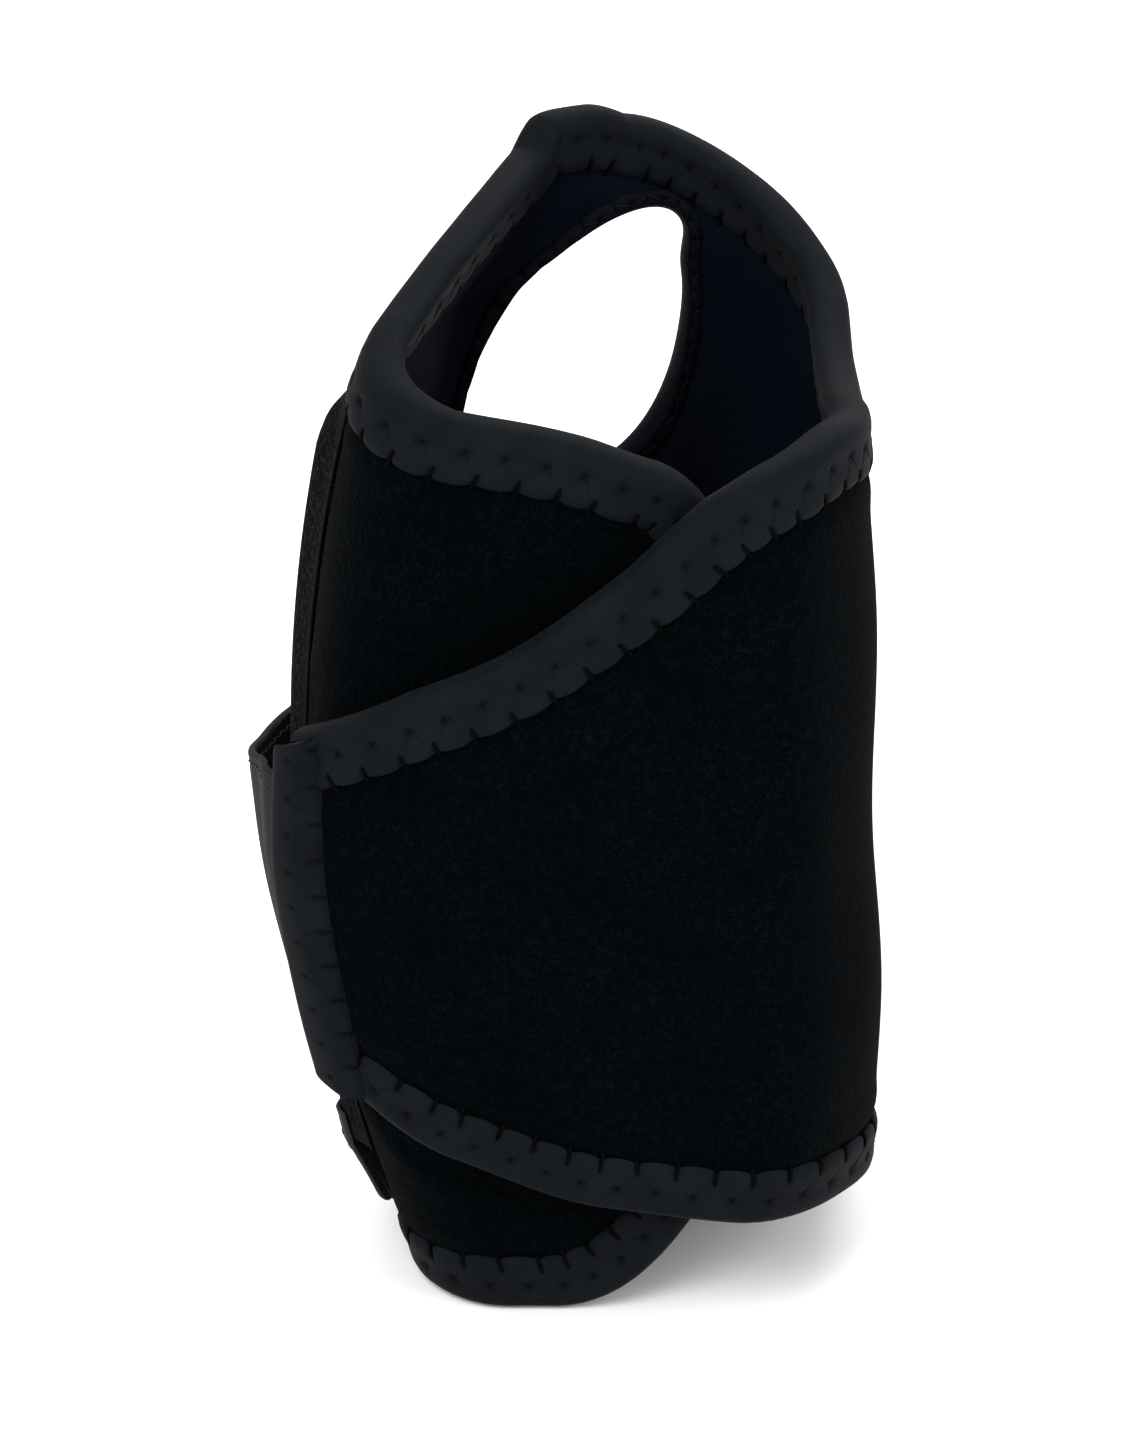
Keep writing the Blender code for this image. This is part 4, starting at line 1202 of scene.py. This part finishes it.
def strap_sewing(start, end):
    """Running stitches along both edges of the strap, on both of its faces."""
    q = np.linspace(start, end, 160)
    paths = []
    for z in (profile(STRAP_LOW, q) + SEWING_INSET, profile(STRAP_HIGH, q) - SEWING_INSET):
        for sunk in (0.02, STRAP_THICK - 0.02):
            paths += running_stitches(q, z, strap_outer(q, z) - sunk)
    return paths


def strap_bend(q, before, after):
    """Two points, in metres, on the tangent of the strap at station q."""
    back, here, on = place(q + np.array([-0.01, 0.0, 0.01]), STRAP_LEVEL, profile(STRAP_OUTER, q))
    along = (on - back) / np.linalg.norm(on - back)
    return (here - along * before + SHIFT) * MM, (here + along * after + SHIFT) * MM


def build_strap(mats):
    band = strap_cloth("strap_webbing", STRAP_START, STRAP_SEAM, 0.0, mats["strap"])
    sewing = tubes("strap_sewing", strap_sewing(9.62, STRAP_SEAM - 0.03), THREAD_RADIUS,
                   mats["sewing"])
    attach((band, sewing), "strap_weave", ("flap", "strap", *strap_bend(STRAP_PEEL, 2.2, 3.2)),
           "strap_root", "strap_band")

    tail = strap_cloth("strap_end_webbing", STRAP_SEAM + 0.008, STRAP_END, 9.0,
                       mats["strap_tail"])
    paths = strap_sewing(STRAP_SEAM + 0.06, HOOK_END - 0.10)
    for station, inset in ((STRAP_SEAM + 0.06, SEWING_INSET), (HOOK_START - 0.03, SEWING_INSET),
                           (HOOK_END + 0.005, SEWING_INSET + 3.0)):
        z = np.linspace(profile(STRAP_LOW, station) + inset,
                        profile(STRAP_HIGH, station) - inset, 120)
        q = np.full(len(z), station)
        paths += running_stitches(q, z, strap_outer(q, z) - 0.02)
    sewing = tubes("strap_end_sewing", paths, THREAD_RADIUS, mats["sewing"])
    attach((tail, sewing), "strap_tail_weave",
           ("strap", "strap_end", *strap_bend(STRAP_FOLD, 3.0, 3.0)), "strap_tail")
    build_hook_patch(mats)


def build_hook_patch(mats):
    q, z, side, ends, uv, (length, dense) = strap_span(
        HOOK_START, HOOK_END, 2.0, (1.6, 2.0), STRAP_HEIGHT - 2 * HOOK_INSET, inset=HOOK_INSET)
    top = strap_outer(q, z) - STRAP_THICK - 0.12
    base = rounded_slab("hook_patch_base", q, z, top, top - 0.55,
                        edge_share(np.minimum(side, ends), 0.5), mats["hook"], uv)
    columns = np.interp(np.arange(2.0, length[-1] - 1.5, HOOK_PITCH), length, dense)
    hook_q, rows = np.meshgrid(columns, np.arange(1.6, 45.6, HOOK_PITCH), indexing="ij")
    hook_z = profile(STRAP_LOW, hook_q) + HOOK_INSET + rows
    root = strap_outer(hook_q, hook_z) - STRAP_THICK - 0.60
    field = tubes("hook_patch_hooks", hooks(hook_q, hook_z, root, root - 0.62, 0.42), 0.17,
                  mats["hook"], sides=5)
    attach((base, field), "hook_tape", "strap_end", "hook_patch")


def build_stay(mats):
    """Bent metal strip with a dipped cap on each end."""
    t = close_ends(-STAY_HALF, STAY_HALF, 2.5, 0.08)
    z = np.linspace(STAY_BOTTOM, STAY_TOP, 60)
    w, height = np.meshgrid(PALM_MIDDLE + t, z, indexing="ij")
    edge = STAY_HALF - np.abs(w - PALM_MIDDLE)
    q = palm_station(w, height)
    bar = rounded_slab("stay_bar", q, height, STAY_OUTER, STAY_INNER, edge_share(edge, 0.45),
                       mats["stay"], grid_uv(w, height))
    attach((bar,), "stay_aluminium", "splint", "splint_stay")
    for name, node, slot, top in (("stay_cap_top", "splint_tip_top", "stay_tip_upper", True),
                                  ("stay_cap_bottom", "splint_tip_bottom", "stay_tip_lower",
                                   False)):
        half = STAY_HALF + 0.12
        t = close_ends(-half, half, 0.7, 0.1)
        far = np.maximum(0.0, np.abs(t) / half - 0.55)
        cut = 3.6 * (1 - np.sqrt(np.maximum(0.0, 1 - far ** 2 / 0.2025)))
        reach = TIP_LENGTH + 0.3 + CAP_OVERLAP - cut
        share = close_ends(0.0, 6.0, 0.6, 0.1) / 6.0
        depth = reach[:, None] * share[None, :]
        end = STAY_TOP - CAP_OVERLAP if top else STAY_BOTTOM + CAP_OVERLAP
        z = end + depth if top else end - depth
        w = np.broadcast_to((PALM_MIDDLE + t)[:, None], z.shape)
        side = np.minimum(half - np.abs(w - PALM_MIDDLE), reach[:, None] - depth)
        swell = np.clip(depth / 0.5, 0.25, 1.0)
        q = palm_station(w, z)
        outer = STAY_OUTER + CAP_SKIN * swell
        inner = STAY_INNER - CAP_SKIN * swell
        if not top:
            q, z, outer, inner, side, w = (v[:, ::-1] for v in (q, z, outer, inner, side, w))
        cap = rounded_slab(name, q, z, outer, inner, edge_share(side, 0.8), mats["tip"],
                           grid_uv(w, z))
        attach((cap,), slot, "splint", node)


def tab_depth(w, z):
    """Inner face of the tab: on the panel above its mouth, lying in to the sleeve below."""
    top = pocket_rise(w, z) + POCKET_WALL + 0.3
    part = np.clip((TAB_LEAN - z) / (TAB_LEAN - TAB_BOTTOM), 0, 1)
    ease = 1 - (1 - part) ** 1.6
    return top + (TAB_HEM - top) * ease


def build_tab(mats):
    u = close_ends(-TAB_HALF, TAB_HALF, 0.9)
    low = TAB_BOTTOM + corner_rise(TAB_HALF - np.abs(u), TAB_CORNER)
    share = close_ends(0.0, TAB_TOP - TAB_BOTTOM, 0.7) / (TAB_TOP - TAB_BOTTOM)
    z = low[:, None] + (TAB_TOP - low)[:, None] * share[None, :]
    w = np.broadcast_to(PALM_MIDDLE + u[:, None], z.shape)
    edge = np.minimum(np.minimum(z - low[:, None], TAB_TOP - z),
                      TAB_HALF - np.abs(w - PALM_MIDDLE))
    hem = 0.16 * np.exp(-((edge - 1.4) / 0.4) ** 2)
    depth = tab_depth(w, z) + 0.08 * np.sin(w * 0.35) * np.sin(z * 0.3)
    tab = rounded_slab("tab_cloth", palm_station(w, z), z, depth + TAB_THICK - hem, depth,
                       edge_share(edge, 0.5), mats["tab"], grid_uv(w, z))
    side = np.linspace(-TAB_HALF + 1.6, TAB_HALF - 1.6, 90)
    rise = np.linspace(TAB_BOTTOM + TAB_CORNER, TAB_TOP - 1.6, 60)
    paths = []
    for across, height in ((side, TAB_TOP - 1.3), (side, TAB_TOP - 3.6), (1.4 - TAB_HALF, rise),
                           (TAB_HALF - 1.4, rise)):
        line_w, line_z = np.broadcast_arrays(PALM_MIDDLE + across, height)
        paths += running_stitches(palm_station(line_w, line_z), line_z,
                                  tab_depth(line_w, line_z) + TAB_THICK - 0.05)
    sewing = tubes("tab_sewing", paths, THREAD_RADIUS, mats["sewing"])
    middle = place_palm(PALM_MIDDLE, TAB_TOP, POCKET_LIFT + POCKET_WALL)
    bend = [(middle + SHIFT - np.array([0, 0, drop])) * MM for drop in (0.4, 4.6)]
    attach((tab, sewing), "tab_fabric", ("sleeve", "tab", *bend), "pocket_tab")

    low_z, high_z = TAB_BOTTOM + TAB_HOOK_LOW, TAB_BOTTOM + TAB_HOOK_HIGH
    u = close_ends(-TAB_HOOK_HALF, TAB_HOOK_HALF, 2.0)
    w, z = np.meshgrid(PALM_MIDDLE + u, close_ends(low_z, high_z, 1.0), indexing="ij")
    edge = np.minimum(np.minimum(z - low_z, high_z - z), TAB_HOOK_HALF - np.abs(w - PALM_MIDDLE))
    depth = tab_depth(w, z) - 0.08
    base = rounded_slab("tab_hook_base", palm_station(w, z), z, depth, depth - 0.45,
                        edge_share(edge, 0.4), mats["hook"], grid_uv(w, z))
    w, z = np.meshgrid(PALM_MIDDLE + np.arange(-13.8, 14.0, 1.4),
                       np.arange(low_z + 0.7, high_z - 0.3, 1.2), indexing="ij")
    root = tab_depth(w, z) - 0.5
    field = tubes("tab_hooks", hooks(palm_station(w, z), z, root, root - 0.55, 0.4), 0.15,
                  mats["hook"], sides=5)
    attach((base, field), "tab_hook_tape", "tab", "pocket_tab_hook")


# ---- Stage -----------------------------------------------------------------------------


def build_stage():
    pale = grained_material("pale_floor", (0.86,) * 3, 0.9, 400.0, (0.85,) * 3, (0.87,) * 3)
    mesh = bpy.data.meshes.new("floor")
    half = 3.0
    mesh.from_pydata([(-half, -half, 0), (half, -half, 0), (half, half, 0), (-half, half, 0)],
                     [], [(0, 1, 2, 3)])
    mesh.materials.append(pale)
    floor = bpy.data.objects.new("floor", mesh)
    bpy.context.scene.collection.objects.link(floor)


def area_light(name, place_m, aim_m, size, power):
    data = bpy.data.lights.new(name, "AREA")
    data.shape = "RECTANGLE"
    data.size, data.size_y = size
    data.energy = power
    lamp = bpy.data.objects.new(name, data)
    lamp.location = place_m
    lamp.rotation_euler = (Vector(aim_m) - Vector(place_m)).to_track_quat("-Z", "Y").to_euler()
    bpy.context.scene.collection.objects.link(lamp)


def build_lights():
    world = bpy.data.worlds.new("studio")
    bpy.context.scene.world = world
    world.use_nodes = True
    background = world.node_tree.nodes["Background"]
    background.inputs["Color"].default_value = (1.0, 1.0, 1.0, 1.0)
    background.inputs["Strength"].default_value = 1.0
    middle = (0.0, 0.0, 0.09)
    area_light("key", (-0.45, -0.75, 1.05), middle, (0.7, 0.7), 14.0)
    area_light("fill", (0.85, -0.45, 0.55), middle, (0.6, 0.8), 5.5)
    area_light("back", (0.25, 0.85, 0.95), middle, (0.8, 0.5), 10.0)
    bpy.context.scene.view_settings.view_transform = "Standard"


def build_camera():
    """Looking down on the little-finger side, the thumb side away."""
    data = bpy.data.cameras.new("camera")
    data.sensor_width = 36.0
    data.lens = CAMERA_LENS
    data.clip_start = 0.05
    camera = bpy.data.objects.new("camera", data)
    target = Vector((CAMERA_AIM_X + SHIFT[0], SHIFT[1], CAMERA_AIM_HEIGHT)) * MM
    elevation = math.radians(CAMERA_ELEVATION)
    back = Vector((0.0, -math.cos(elevation), math.sin(elevation)))
    camera.location = target + back * CAMERA_DISTANCE
    camera.rotation_euler = (-back).to_track_quat("-Z", "Y").to_euler()
    bpy.context.scene.collection.objects.link(camera)
    bpy.context.scene.camera = camera


# ---- Build -----------------------------------------------------------------------------


def main():
    mats = {
        "pile": pile_material("pile"),
        "flap_pile": pile_material("flap_pile"),
        "lining": lining_material("lining_jersey"),
        "flap_lining": lining_material("flap_lining_jersey"),
        "tape": tape_material("binding_knit"),
        "hole_tape": tape_material("hole_binding_knit", (0.0028, 0.0036, 0.0060)),
        "flap_tape": tape_material("flap_top_binding_knit"),
        "flap_low_tape": tape_material("flap_bottom_binding_knit"),
        "thread": grained_material("thread", (0.005, 0.005, 0.006), 0.55, 0.25,
                                   (0.0022, 0.0027, 0.0034), (0.0060, 0.0072, 0.0086), 0.08,
                                   Specular_IOR_Level=0.02, Sheen_Weight=0.01,
                                   Sheen_Roughness=0.4),
        # Painted shade: the threads drawn tight over the border are near black, far darker than
        # the other thread, standing in for the shadow in the notch at each stitch.
        "tick": grained_material("tight_thread_painted_shade", (0.0012, 0.0013, 0.0016), 0.85, 0.25,
                                 (0.0006, 0.0007, 0.0009), (0.0018, 0.0020, 0.0024), 0.08,
                                 Specular_IOR_Level=0.02),
        "sewing": grained_material("sewing", (0.012, 0.012, 0.013), 0.5, 0.3,
                                   (0.008, 0.008, 0.009), (0.020, 0.020, 0.022), 0.08,
                                   Specular_IOR_Level=0.1, Sheen_Weight=0.02,
                                   Sheen_Roughness=0.4),
        "pocket": pocket_material(),
        "anchor": tape_material("anchor_knit"),
        "strap": strap_material("strap_weave"),
        "strap_tail": strap_material("strap_end_weave"),
        "hook": grained_material("hook_nylon", (0.010, 0.010, 0.011), 0.4, 0.6,
                                 (0.008, 0.008, 0.009), (0.018, 0.018, 0.020),
                                 gloss=(0.32, 0.5), Specular_IOR_Level=0.3),
        "stay": aluminium_material(),
        "tip": grained_material("dipped_vinyl", (0.012, 0.012, 0.013), 0.38, 2.5,
                                (0.009, 0.009, 0.010), (0.017, 0.017, 0.018), 0.08,
                                gloss=(0.30, 0.46), Specular_IOR_Level=0.5, Coat_Weight=0.25,
                                Coat_Roughness=0.3),
        "tab": tab_material(),
    }
    build_wrap(mats)
    build_pocket(mats)
    build_anchor(mats)
    build_strap(mats)
    build_stay(mats)
    build_tab(mats)
    build_stage()
    build_lights()
    build_camera()


main()
